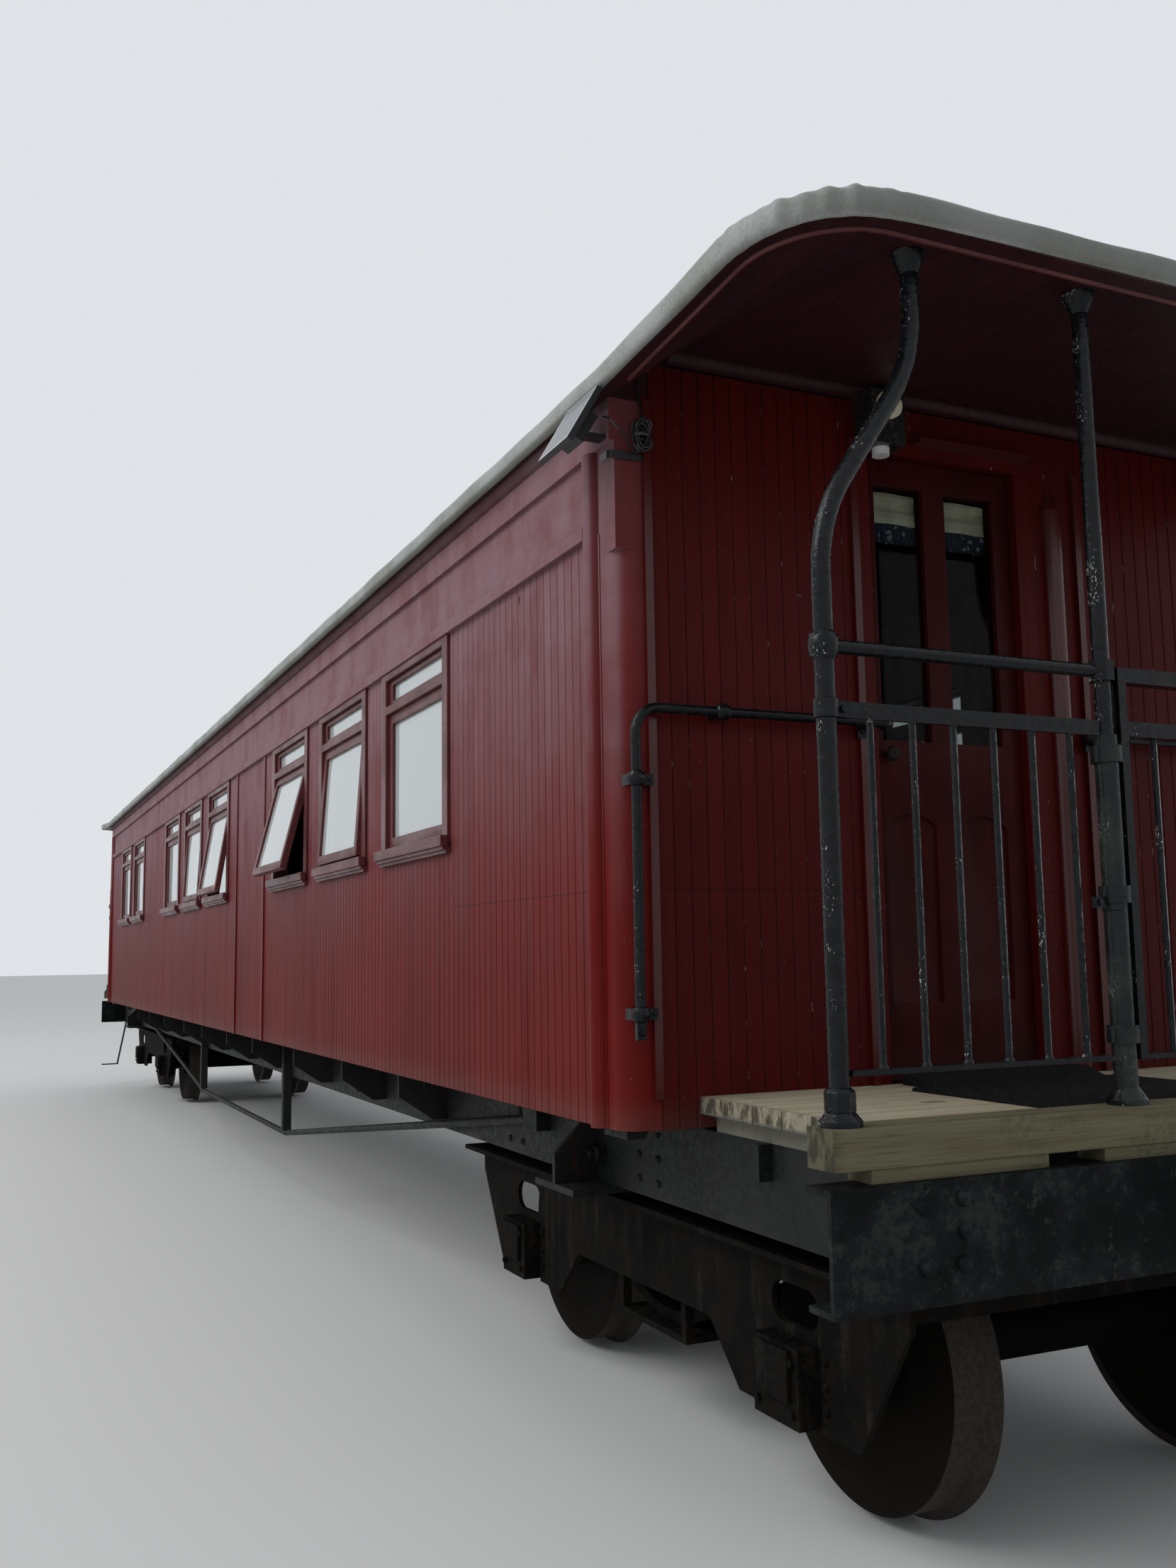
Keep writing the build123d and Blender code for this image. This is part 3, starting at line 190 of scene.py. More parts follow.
def lay_on(shader, colour, rough, height=None, depth=0.001, **fixed):
    """Sets a finish: its colour and roughness, the relief of a height times a depth in metres, and fixed values."""
    for socket, value in (("Base Color", colour), ("Roughness", rough)):
        if isinstance(value, Wire):
            value.tree.links.new(value.socket, shader.inputs[socket])
        else:
            shader.inputs[socket].default_value = (*value, 1) if socket == "Base Color" else value
    if height is not None:
        relief = height.node("ShaderNodeBump", {}, {"Strength": 1.0, "Distance": depth, "Height": height})
        height.tree.links.new(relief.socket, shader.inputs["Normal"])
    for socket, value in fixed.items():
        shader.inputs[socket.replace("_", " ")].default_value = value


def dress(finish, *nodes):
    """Gives CAD nodes their finish."""
    for node in nodes:
        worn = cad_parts[node].data
        worn.materials.clear()
        worn.materials.append(finish)


def fitted(name, mesh, finish, body, sharp):
    """An object of that mesh and finish which rides on a body, smooth where its faces meet flatter than sharp."""
    mesh.polygons.foreach_set("use_smooth", np.ones(len(mesh.polygons), bool))
    mesh.set_sharp_from_angle(angle=math.radians(sharp))
    mesh.materials.clear()
    mesh.materials.append(finish)
    piece = bpy.data.objects.new(name, mesh)
    bpy.context.scene.collection.objects.link(piece)
    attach(piece, body)
    return piece


def add_piece(name, points, faces, finish, body="coach", sharp=35, closed=True):
    """A new piece of the given points and faces. A closed one has its open ends filled and its faces turned
    outwards."""
    mesh = bpy.data.meshes.new(name)
    mesh.from_pydata(np.asarray(points, float).reshape(-1, 3).tolist(), [], np.asarray(faces).tolist())
    if closed:
        shell = bmesh.new()
        shell.from_mesh(mesh)
        bmesh.ops.holes_fill(shell, edges=[e for e in shell.edges if e.is_boundary], sides=0)
        bmesh.ops.recalc_face_normals(shell, faces=shell.faces)
        shell.to_mesh(mesh)
        shell.free()
    return fitted(name, mesh, finish, body, sharp)


def grid_faces(rows, columns, copies=1, close_rows=False, close_columns=False):
    """Faces of a grid of points numbered row by row, for as many copies of it as are asked."""
    r = np.arange(rows if close_rows else rows - 1)
    c = np.arange(columns if close_columns else columns - 1)
    r, c = (a.ravel() for a in np.meshgrid(r, c, indexing="ij"))
    r2, c2 = (r + 1) % rows, (c + 1) % columns
    one = np.stack([r * columns + c, r * columns + c2, r2 * columns + c2, r2 * columns + c], 1)
    return (one[None] + np.arange(copies)[:, None, None] * rows * columns).reshape(-1, 4)


def turned(places, profile, axis, sides):
    """Points and faces of one turned shape at each place: the profile's (height, radius) pairs go round the axis."""
    places, profile, axis = np.asarray(places, float), np.asarray(profile, float), np.asarray(axis, float)
    side = np.cross(axis, (0.0, 0.0, 1.0) if abs(axis[2]) < 0.9 else (1.0, 0.0, 0.0))
    side /= np.linalg.norm(side)
    other = np.cross(axis, side)
    angle = np.arange(sides) * 2 * np.pi / sides
    around = np.cos(angle)[:, None] * side + np.sin(angle)[:, None] * other
    one = profile[:, 0, None, None] * axis + profile[:, 1, None, None] * around
    points = places[:, None, None, :] + one[None]
    return points.reshape(-1, 3), grid_faces(len(profile), sides, len(places), close_columns=True)


def gathered(*shapes):
    """Several shapes' points and faces as one shape's: the numbers in each one's faces go up by the points before."""
    start = np.cumsum([0] + [len(points) for points, _ in shapes[:-1]])
    return (
        np.concatenate([points for points, _ in shapes]),
        np.concatenate([np.asarray(faces) + s for (_, faces), s in zip(shapes, start)]),
    )


underframe_blue, underframe_dust, rust = (0.0060, 0.0072, 0.0068), (0.022, 0.023, 0.020), (0.040, 0.015, 0.008)
steel, shader, place = new_finish("underframe_steel", "underframe_steel")
patches, grit = cloudy(place, 3.0), cloudy(place, 45.0, 6.0, 0.7)
streaks = cloudy(stretched(place, 14, 14, 0.8), 1.0, 5.0)
colour = coated(
    underframe_blue,
    (underframe_dust, patches * 0.7 + grit * 0.5, 0.45, 0.85, 0.0, 0.6),
    (rust, streaks * 0.6 + grit * 0.5, 0.60, 0.78, 0.0, 0.7),
)
lay_on(shader, colour, ramp(grit, 0.3, 0.7, 0.45, 0.75), grit, 0.0008, Specular_IOR_Level=0.18)
dress(steel, "sole_bars", "cross_members", "draft_sills", "body_bolsters")
dress(steel, "truss_rods", "queen_posts", "body_brackets", "step_irons")

# Rivets of the sole bars stand in pairs at each cross member and the bolsters, with dome heads
web_y, rivet_radius, frame_top = 0.951, 0.012, 0.985
member_pitch, pair_half, rivet_rows = 1.05, 0.06, (0.80, 0.87, 0.94)
dome = np.array([(0, 1.0), (0.35, 0.94), (0.62, 0.75), (0.80, 0.45), (0.86, 0.02)]) * rivet_radius
members = np.arange(-6, 7) * member_pitch
rivet_x = np.concatenate([members - pair_half, members + pair_half])
lines = [
    turned([(px, side * web_y, pz) for px in rivet_x for pz in rivet_rows], dome, (0, side, 0), 10)
    for side in (-1, 1)
]
add_piece("sole_bar_rivets", *gathered(*lines), steel)
# Bolts hang through the floor beside the sole bars, cut long, with a nut each
bolt_ahead, bolt_y = 0.31, 1.06
bolt_profile = np.array([(0, 0.006), (0, 0.0065), (-0.062, 0.0065), (-0.064, 0.001)])
nut_profile = np.array([(-0.006, 0.001), (-0.006, 0.014), (-0.017, 0.014), (-0.018, 0.0065)])
hung = [(px + bolt_ahead, side * bolt_y, frame_top) for px in members[:-1] for side in (-1, 1)]
floor_bolts = gathered(turned(hung, bolt_profile, (0, 0, 1), 8), turned(hung, nut_profile, (0, 0, 1), 6))
add_piece("floor_bolts", *floor_bolts, steel)

# Headstocks: deep steel beams across the ends of the frame, riveted to the sole bars. Their black paint is
# streaked by rain, with spots of rust and a pale bloom of old paint and lichen.
nose = 7.620
black_paint, blue_bloom, green_bloom = (0.0022, 0.0028, 0.0029), (0.0055, 0.0070, 0.0080), (0.018, 0.024, 0.021)
lichen = (0.034, 0.037, 0.029)
beam_steel, shader, place = new_finish("headstock_steel", "headstock_steel")
grit, bloom = cloudy(place, 38.0, 7.0, 0.72), cloudy(place, 7.0, 5.0, 0.6)
runs = cloudy(stretched(place, 9, 11, 2.4), 2.0, 6.0, 0.65)
colour = coated(
    black_paint,
    (blue_bloom, bloom, 0.40, 0.64),
    (green_bloom, bloom * 0.4 + grit * 0.6, 0.50, 0.62, 0.0, 0.85),
    (lichen, runs * 0.5 + grit * 0.5, 0.575, 0.665, 0.0, 0.7),
    (rust, grit * 0.6 + runs * 0.4, 0.62, 0.70, 0.0, 0.5),
)
lay_on(shader, colour, ramp(runs, 0.3, 0.7, 0.34, 0.68), grit * 0.7 + runs * 0.3, 0.0022, Specular_IOR_Level=0.09)
dress(beam_steel, "headstocks", "couplers")
rivet = dome * 1.5
rivet_spots = ((0.988, 0.935), (0.887, 0.945), (0.884, 0.878), (0.988, 0.813), (0.892, 0.813))
lines = []
for end in (-1, 1):
    spots = [(end * nose, end * side * py, pz) for side in (-1, 1) for py, pz in rivet_spots]
    lines.append(turned(spots, rivet, (end, 0, 0), 14))
add_piece("headstock_rivets", *gathered(*lines), beam_steel)

# Bogies: plate frames with riveted angles and a bolster on leaf springs, all under caked brown road dirt and
# brake dust.
bogie_x, web_out, wheel_near = 5.940, 0.816, 0.910
dirt_brown, dirt_pale, iron_dark = (0.0085, 0.0066, 0.0052), (0.026, 0.022, 0.017), (0.0032, 0.0031, 0.0030)
bogie_dirt, shader, place = new_finish("bogie_brown", "bogie_brown")
grit, cake = cloudy(place, 60.0, 7.0, 0.7), cloudy(place, 9.0, 5.0, 0.6)
fall = cloudy(stretched(place, 12, 12, 2.0), 1.5, 5.0)
colour = coated(
    iron_dark,
    (dirt_brown, cake * 0.6 + grit * 0.4, 0.40, 0.64),
    (dirt_pale, fall * 0.6 + grit * 0.4, 0.50, 0.70, 0.0, 0.7),
)
lay_on(shader, colour, ramp(grit, 0.3, 0.7, 0.66, 0.92), grit * 0.6 + cake * 0.4, 0.003, Specular_IOR_Level=0.05)
# The top angle's rivets run the length of each side frame, six hold each horn guide, and a bolt holds each
# corner of an axlebox lid
angle_half, angle_z, lid_out = 1.32, 0.668, 0.880
horn_half, horn_rows, lid_half, lid_rows = 0.135, (0.33, 0.39, 0.45), 0.080, (0.318, 0.442)
lid_bolt = np.array([(0, 0.011), (0.011, 0.011), (0.013, 0.001)])
for end_name, end in (("front", 1), ("rear", -1)):
    dress(bogie_dirt, *(f"bogie_{end_name}_{part}" for part in ("frame", "bolster", "springs", "axleboxes")))
    wheels_at = [end * bogie_x + offset for offset in (-wheel_near, wheel_near)]
    parts = []
    for side in (-1, 1):
        heads = [(end * bogie_x + px, side * web_out, angle_z) for px in np.linspace(-angle_half, angle_half, 19)]
        heads += [
            (wheel + px, side * web_out, pz)
            for wheel in wheels_at for px in (-horn_half, horn_half) for pz in horn_rows
        ]
        bolts = [
            (wheel + px, side * lid_out, pz)
            for wheel in wheels_at for px in (-lid_half, lid_half) for pz in lid_rows
        ]
        parts += [turned(heads, dome * 1.1, (0, side, 0), 8), turned(bolts, lid_bolt, (0, side, 0), 6)]
    add_piece(f"bogie_{end_name}_rivets", *gathered(*parts), bogie_dirt, f"bogie_{end_name}")

# Wheelsets: rolled steel wheels pressed on turned axles, dull brown with a worn paler tread and grease at the hubs.
# Each turns by itself, so each has a material of its own, whose rings are centred on its axle.
axle_z, tread_radius = 0.406, 0.381
wheel_brown, tread_grey, grease = (0.0070, 0.0054, 0.0042), (0.036, 0.030, 0.025), (0.0025, 0.0023, 0.0022)
for bogie, end in (("front", 1), ("rear", -1)):
    for spot, offset in (("outer", 1), ("inner", -1)):
        wheel_steel, shader, place = new_finish(f"wheel_steel_{bogie}_{spot}", "wheel_steel")
        x, _, z = split(place)
        out_x, out_z = x - end * (bogie_x + offset * wheel_near), z - axle_z
        square = out_x * out_x + out_z * out_z
        radius = square.maths("POWER", square, 0.5)
        grit, cake = cloudy(place, 70.0, 6.0, 0.7), cloudy(place, 8.0, 4.0)
        rings = (radius * 900.0).sine()
        colour = coated(wheel_brown, (dirt_brown, cake * 0.5 + grit * 0.5, 0.4, 0.62))
        on_tread = ramp(radius, tread_radius - 0.0015, tread_radius - 0.0005) * ramp(grit, 0.35, 0.6, 0.5, 1.0)
        colour = coated(blended(on_tread, colour, tread_grey), (grease, radius, 0.07, 0.13, 0.9, 0.0))
        rough = ramp(radius, tread_radius - 0.003, tread_radius, 0.78, 0.42)
        lay_on(shader, colour, rough, grit * 0.8 + rings * 0.05, 0.002, Specular_IOR_Level=0.06)
        dress(wheel_steel, f"wheelset_{bogie}_{spot}")

# Body sides: tongued and grooved boards 53 mm apart stand upright in the frame, nailed on and painted dark red.
# Towards the eaves the paint pales to a greyish purple, dulled by rain and with a painted sky reflection, and dust
# darkens the V joints.
half, skin, board_low, board_high = 6.705, 1.220, 1.000, 2.626
pitch, joint, joint_depth, board_stand = 0.053, 0.007, 0.0032, 0.003
window_places = (4.895, 3.790, 2.685, 0.455, -0.650, -1.755, -4.030, -5.135)
window_half, sill_z, head_z = 0.425, 1.850, 2.626
fresh_red, deep_red, faded_sky_red = (0.122, 0.0092, 0.0078), (0.086, 0.0064, 0.0058), (0.215, 0.130, 0.146)
low_dust, scuff, joint_dust = (0.10, 0.075, 0.06), (0.26, 0.17, 0.16), (0.018, 0.005, 0.005)
old_sap, undercoat_fleck = (0.016, 0.006, 0.006), (0.42, 0.36, 0.34)
butt_z, butt_from, knot_x, knot_z = 1.632, 5.36, 6.0, 2.586


def from_line(count):
    """How far a place, counted in boards, is from the nearest joint: its distance from the nearest whole number."""
    return abs((count + 0.5) % 1.0 - 0.5)


def facing(place):
    """The three parts of the normal of the surface there."""
    return split(place.node("ShaderNodeNewGeometry", {}, {}, "Normal"))


def red_paint(name, fade_and_sky_low, fade_and_sky_high, seam_axis, gloss=0.46, sheen=0.05, depth=1.0, flecks=0.0):
    """Old red paint on boards. It pales from one height to another, dulled by rain and with a painted sky reflection,
    and each board has its own tint. A depth under 1 darkens every tone, which is painted shade for parts in shade.
    Along a level seam_axis the joints are darkened where dust lies in them; posts and mouldings take 2 and have none."""
    made, shader, place = new_finish(name, "body_red")
    axes = split(place)
    x, y, z = axes
    board = axes[seam_axis] * (1 / pitch)
    own = cloudy(board.node("ShaderNodeCombineXYZ", {}, {0: board - board % 1.0}), 7.31, 0.0)
    grit, cloud = cloudy(place, 90.0, 5.0, 0.65), cloudy(place, 1.3, 5.0, 0.6)
    streak = cloudy(stretched(place, 16, 16, 0.45), 1.0, 6.0, 0.62)
    blot = cloudy(stretched(place, 1, 1, 0.6), 6.0, 6.0, 0.6)
    tones = (fresh_red, deep_red, faded_sky_red, joint_dust)
    fresh, deep, faded_sky, dust = (tuple(depth * part for part in tone) for tone in tones)
    # Rain reaches the sides and not the end faces, which keep their colour
    # The paling and the painted sky reflection are mostly kept off faces that look along the coach, which stand in
    # shade
    fade_and_sky = ramp(z + (streak - 0.5) * 0.7 + (cloud - 0.5) * 0.6, fade_and_sky_low, fade_and_sky_high)
    fade_and_sky = fade_and_sky * ramp(abs(facing(place)[0]), 0.55, 0.9, 1.0, 0.25)
    colour = coated(fresh, (deep, cloud * 0.5 + streak * 0.5, 0.36, 0.64))
    colour = blended(fade_and_sky * ramp(blot, 0.25, 0.62, 0.55, 1.0), colour, faded_sky)
    colour = coated(
        colour,
        (deep, own, 0.35, 0.65, 0.0, 0.18),
        (low_dust, z, board_low, board_low + 0.10, 0.22, 0.0),
        (scuff, cloudy(place, 160.0, 2.0), 0.735, 0.76, 0.0, 0.7),
    )
    if seam_axis < 2:
        near = from_line(board)
        colour = coated(colour, (dust, near, 0.020, 0.050, 0.55, 0.0))
        # By the photographed corner the boards are pieced out at one height, and old sap has run from a knot
        butt = ramp(abs(z - butt_z), 0.0012, 0.0024, 0.6, 0.0) * ramp(x, butt_from, butt_from + 0.01)
        aside, above = x - knot_x, z - knot_z
        drop = aside * aside * 26000.0 + above * above * 5200.0 + ramp(y, -1.0, -0.9, 0.0, 9.0)
        colour = coated(blended(butt, colour, dust), (old_sap, drop, 0.7, 1.3, 0.8, 0.0))
        bare = ramp(cloudy(stretched(place, 1, 1, 0.12), 150.0, 3.0), 0.66, 0.70) * ramp(near, 0.030, 0.055, 1.0, 0.0)
        colour = blended(bare * flecks, colour, undercoat_fleck)
    rough = ramp(fade_and_sky * 0.3 + streak * 0.7, 0.3, 0.75, gloss, gloss + 0.25)
    lay_on(shader, colour, rough, grit * 0.5 + streak * 0.5, 0.0010, Specular_IOR_Level=sheen)
    return made


def boarded(span, heights, holes):
    """Upright V-jointed boards as (along, stand, height) points and faces: a grid on the joints and the holes'
    edges, whose stand drops to the joint's depth at each joint, without the cells inside the holes."""
    seams = np.arange(math.ceil(span[0] / pitch), math.floor(span[1] / pitch) + 1) * pitch
    seams = seams[(seams > span[0] + joint) & (seams < span[1] - joint)]
    edges = np.array([(a, b) for a, b, _, _ in holes]).ravel()
    along = np.unique(np.round(np.concatenate([span, seams - joint / 2, seams, seams + joint / 2, edges]), 5))
    up_edges = np.array([(c, d) for _, _, c, d in holes]).ravel()
    up = np.unique(np.round(np.concatenate([heights, up_edges]), 5))
    nearest = np.abs(along[:, None] - seams[None]).min(1)
    stand = board_stand - joint_depth * np.clip(1 - nearest / (joint / 2), 0, 1)
    along, stand = np.concatenate([along[:1], along, along[-1:]]), np.concatenate([[0], stand, [0]])
    up = np.concatenate([up[:1], up, up[-1:]])
    a, u = np.meshgrid(along, up, indexing="ij")
    s = np.repeat(stand[:, None], len(up), 1)
    s[:, 0] = s[:, -1] = 0
    faces = grid_faces(len(along), len(up))
    middle_a, middle_u = a.ravel()[faces].mean(1), u.ravel()[faces].mean(1)
    keep = np.ones(len(faces), bool)
    for low, high, bottom, top in holes:
        keep &= ~((middle_a > low) & (middle_a < high) & (middle_u > bottom) & (middle_u < top))
    used, faces = np.unique(faces[keep], return_inverse=True)
    return np.stack([a.ravel(), s.ravel(), u.ravel()], 1)[used], faces.reshape(-1, 4)


side_red = red_paint("side_red", 1.30, 2.85, 0)
corner_width = 0.10
window_holes = [(px - window_half, px + window_half, sill_z, head_z) for px in window_places]
flat, faces = boarded((-half + corner_width, half - corner_width), (board_low, board_high), window_holes)
for side_name, side in (("left", -1), ("right", 1)):
    points = np.stack([flat[:, 0], side * (skin + flat[:, 1]), flat[:, 2]], 1)
    add_piece(f"side_boards_{side_name}", points, faces[:, ::side], side_red, closed=False)
plain_red = red_paint("plain_red", 1.45, 2.90, 2, 0.38)
dress(plain_red, "side_wall_left", "side_wall_right", "corner_posts", "side_mouldings")

# Windows: painted timber frames planted on the boards, each with a fixed fanlight over a top-hung sash, some of them
# propped open. The maroon gloss paint is paler and greyer on faces that look up, the sills most, and the panes mirror
# the sky, helped by a pale colour painted in as sky reflection.
frame_red, frame_deep = (0.098, 0.022, 0.022), (0.068, 0.013, 0.014)
sill_grey, edge_wear = (0.112, 0.046, 0.047), (0.26, 0.17, 0.15)


def softened(node, piece_name, width, finish, body="coach"):
    """The CAD node's own shape with its long edges rounded by that width, as a piece that stands for the node."""
    shape = bmesh.new()
    shape.from_mesh(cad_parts[node].data)
    bmesh.ops.remove_doubles(shape, verts=shape.verts, dist=0.00005)
    bmesh.ops.dissolve_limit(shape, angle_limit=math.radians(1), verts=shape.verts, edges=shape.edges)
    hard = [e for e in shape.edges if len(e.link_faces) == 2 and e.calc_face_angle(0) > math.radians(40)]
    bmesh.ops.bevel(
        shape, geom=hard, offset=width, offset_type="OFFSET", segments=2, profile=0.5, affect="EDGES",
        clamp_overlap=True,
    )
    bmesh.ops.triangulate(shape, faces=[f for f in shape.faces if len(f.verts) > 4])
    mesh = bpy.data.meshes.new(piece_name)
    shape.to_mesh(mesh)
    shape.free()
    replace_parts(fitted(piece_name, mesh, finish, body, 24), node)


def boxes(corners):
    """Points and faces of plain blocks, each from two opposite corners."""
    corners = np.sort(np.asarray(corners, float).reshape(-1, 2, 3), axis=1)
    pick = np.array([[i >> 2 & 1, i >> 1 & 1, i & 1] for i in range(8)])
    points = np.take_along_axis(corners[:, :, None, :], pick[None, None], 1)[:, 0]
    quads = np.array([(0, 1, 3, 2), (4, 6, 7, 5), (0, 4, 5, 1), (2, 3, 7, 6), (0, 2, 6, 4), (1, 5, 7, 3)])
    return points.reshape(-1, 3), (quads[None] + 8 * np.arange(len(corners))[:, None, None]).reshape(-1, 4)


joinery, shader, place = new_finish("joinery_red", "joinery_red")
grit, cloud = cloudy(place, 120.0, 5.0, 0.65), cloudy(place, 5.0, 5.0)
grain = cloudy(stretched(place, 9, 40, 40), 1.0, 6.0)
colour = coated(frame_red, (frame_deep, cloud * 0.6 + grain * 0.4, 0.38, 0.62))
# Faces that look up, the sills most, are paler and greyer.
colour = blended(ramp(facing(place)[2], 0.3, 0.9) * ramp(grain, 0.3, 0.6, 0.25, 0.8), colour, sill_grey)
colour = coated(colour, (edge_wear, cloudy(place, 150.0, 3.0), 0.70, 0.74, 0.0, 0.6))
rough = ramp(cloud * 0.5 + grit * 0.5, 0.3, 0.7, 0.26, 0.5)
lay_on(shader, colour, rough, grain * 0.7 + grit * 0.3, 0.0006, Specular_IOR_Level=0.3)
softened("window_frames", "window_casings", 0.003, joinery)
softened("window_sashes", "window_awnings", 0.003, joinery)
# A small two-step moulding runs under every sill
step_high, step_reach = 0.0118, window_half + 0.004
sill_steps = [
    ((px - step_reach, side * skin, sill_z - drop), (px + step_reach, side * (skin + proud), sill_z - drop + step_high))
    for side in (-1, 1) for px in window_places for drop, proud in ((0.012, 0.034), (0.024, 0.022))
]
add_piece("sill_mouldings", *boxes(sill_steps), joinery, sharp=20)

pane_sky_pale, clear_tint, smeared_tint = (0.80, 0.86, 0.86), (0.78, 0.82, 0.80), (0.66, 0.70, 0.68)
pane, shader, place = new_finish("window_pane", "window_glass")
rough = ramp(cloudy(stretched(place, 3, 3, 1.2), 2.0, 5.0, 0.6), 0.45, 0.75, 0.02, 0.09)
mirror = {"Transmission_Weight": 0.55, "IOR": 1.75, "Specular_IOR_Level": 0.8}
# Part of each pane is a pale diffuse colour, a painted sky reflection, under the real reflection of the glass.
lay_on(shader, pane_sky_pale, rough, cloudy(place, 2.2, 1.0), 0.004, **mirror)
dress(pane, "window_glass")
# The doors' panes stand in the shade, so they are clear and dark
shaded_pane, shader, place = new_finish("shaded_pane", "window_glass")
smear = cloudy(stretched(place, 3, 3, 1.2), 5.0, 5.0, 0.6)
colour = coated(clear_tint, (smeared_tint, smear, 0.4, 0.7))
lay_on(shader, colour, ramp(smear, 0.45, 0.75, 0.01, 0.05), Transmission_Weight=1.0, IOR=1.12)
dress(shaded_pane, "door_glass_front", "door_glass_rear")

# Roof: boards bent over the carlines under painted canvas, which is drawn down over the edge and tacked. The
# grey paint is chalky and stained by leaves, and the cloth lies in folds where it goes round the corners.
eave_low, eave_high, crown, edge_y = 2.987, 3.042, 3.400, 1.280
front_x, band_high, front_rise, corner_round, cloth_lift = 7.700, 3.100, 0.012, 0.300, 0.0035
arch_radius = (edge_y ** 2 + (crown - eave_high) ** 2) / (2 * (crown - eave_high))
front_radius = (edge_y ** 2 + front_rise ** 2) / (2 * front_rise)


def surface(px, py, pz, **closed):
    """Points and faces of a grid, from arrays of coordinates that are each spread over its rows and columns."""
    grid = np.stack(np.broadcast_arrays(px, py, pz), 2)
    return grid.reshape(-1, 3), grid_faces(*grid.shape[:2], **closed)


def roof_height(px, py):
    """Height of the roof boards. Over the body it is one arc, and over a platform it goes in straight lines from
    that arc to the flat arc of the front edge, between points at equal shares of both."""
    share = np.clip((np.abs(px) - half) / (front_x - half), 0, 1)
    big, small = math.asin(edge_y / arch_radius), math.asin(edge_y / front_radius)
    s = py / edge_y
    for _ in range(4):
        here = (1 - share) * arch_radius * np.sin(s * big) + share * front_radius * np.sin(s * small)
        slope = (1 - share) * arch_radius * big * np.cos(s * big) + share * front_radius * small * np.cos(s * small)
        s = s - (here - py) / slope
    arch = crown - arch_radius + arch_radius * np.cos(s * big)
    front = band_high + front_rise - front_radius + front_radius * np.cos(s * small)
    return (1 - share) * arch + share * front


def ripple(px, py):
    """Slight unevenness of the cloth: a sum of sines of both places, at most two millimetres."""
    broad = np.sin(px * 5.1 + 3 * np.sin(py * 2.3)) + np.sin(py * 17.0 + px * 2.7)
    return 0.0007 * broad + 0.0004 * np.sin(px * 31 + py * 13)


round_x, round_y = front_x - corner_round, edge_y - corner_round
straight_x = np.concatenate([np.linspace(0, half, 48), np.linspace(half, round_x, 14)[1:]])
bend = np.linspace(0, np.pi / 2, 12)[1:]
canvas_x = np.concatenate([straight_x, round_x + corner_round * np.sin(bend)])
canvas_half = np.concatenate([np.full(len(straight_x), edge_y), round_y + corner_round * np.cos(bend)])
gx = np.concatenate([-canvas_x[:0:-1], canvas_x])[:, None]
gy = np.concatenate([canvas_half[:0:-1], canvas_half])[:, None] * np.linspace(-1, 1, 41)
top_cloth = surface(gx, gy, roof_height(gx, gy) + cloth_lift + ripple(gx, gy))

# The rolled edge goes once round the roof: its outline in plan, with the way out from the roof at each point
quarter = np.linspace(0, np.pi / 2, 49)
side_x = np.linspace(0, round_x, 90, endpoint=False)
front_y = np.linspace(round_y, 0, 16)[1:-1]
q_x = np.concatenate([side_x, round_x + corner_round * np.sin(quarter), np.full(len(front_y), front_x)])
q_y = np.concatenate([np.full(len(side_x), edge_y), round_y + corner_round * np.cos(quarter), front_y])
q_turn = np.concatenate([np.zeros(len(side_x)), quarter, np.full(len(front_y), np.pi / 2)])
rim = np.stack([q_x, q_y, np.sin(q_turn), np.cos(q_turn)], 1)
rim = np.concatenate([rim, (rim * (1, -1, 1, -1))[::-1]])
rim = np.concatenate([rim, (rim * (-1, 1, -1, 1))[::-1][:-1]])[:-1]
# Folds gathered in each corner: the turn at which each stands, its strength and its width
folds = ((0.22, 0.55, 0.09), (0.60, 1.0, 0.055), (0.98, 0.8, 0.07), (1.17, 1.0, 0.045), (1.40, 0.45, 0.06))
angle = np.arctan2(np.abs(rim[:, 2]), np.abs(rim[:, 3]))
gathers = sum(strength * np.exp(-(((angle - turn) / width) ** 2)) for turn, strength, width in folds)
gathers = gathers * (np.abs(rim[:, 2:]) > 0.002).all(1)
# The roll's section: how far out from the roof's edge, how high above it, and how much the folds show there
roll_out, roll_up, fold_shows = np.array([
    (-0.150, 0.0040, 0), (-0.090, 0.0045, 1), (-0.045, 0.0055, 1), (-0.018, 0.0065, 1), (-0.004, 0.0060, 1),
    (0.0055, 0.0020, 1), (0.0105, -0.0060, 1), (0.0130, -0.0180, 1), (0.0130, -0.0330, 1), (0.0115, -0.0480, 0.9),
    (0.0070, -0.0580, 0.7), (-0.0010, -0.0615, 0.4), (-0.0120, -0.0600, 0.2), (-0.0200, -0.0570, 0),
]).T
fold_height, sag_height = 0.0052, 0.0016
out_x, out_y = rim[:, :1] + rim[:, 2:3] * roll_out, rim[:, 1:2] + rim[:, 3:] * roll_out
on_edge = roof_height(rim[:, 0] - 0.0005 * rim[:, 2], np.clip(rim[:, 1], -edge_y, edge_y))
inward = roll_out < -0.01
laid = np.where(inward, roof_height(np.where(inward, out_x, 0), np.where(inward, out_y, 0)), on_edge[:, None])
fade_in = np.clip((roll_out + 0.150) / 0.12, 0, 1)
count = np.arange(len(rim))[:, None]
sag = sag_height * np.sin(count * 0.9) * np.sin(count * 0.37) * fade_in
push = gathers[:, None] * fade_in * fold_shows * fold_height + sag
spread = np.where(roll_out > -0.03, push, 0)
roll_z = laid + roll_up + np.where(roll_up > -0.002, push, 0)
rolled_edge = surface(out_x + rim[:, 2:3] * spread, out_y + rim[:, 3:] * spread, roll_z, close_rows=True)

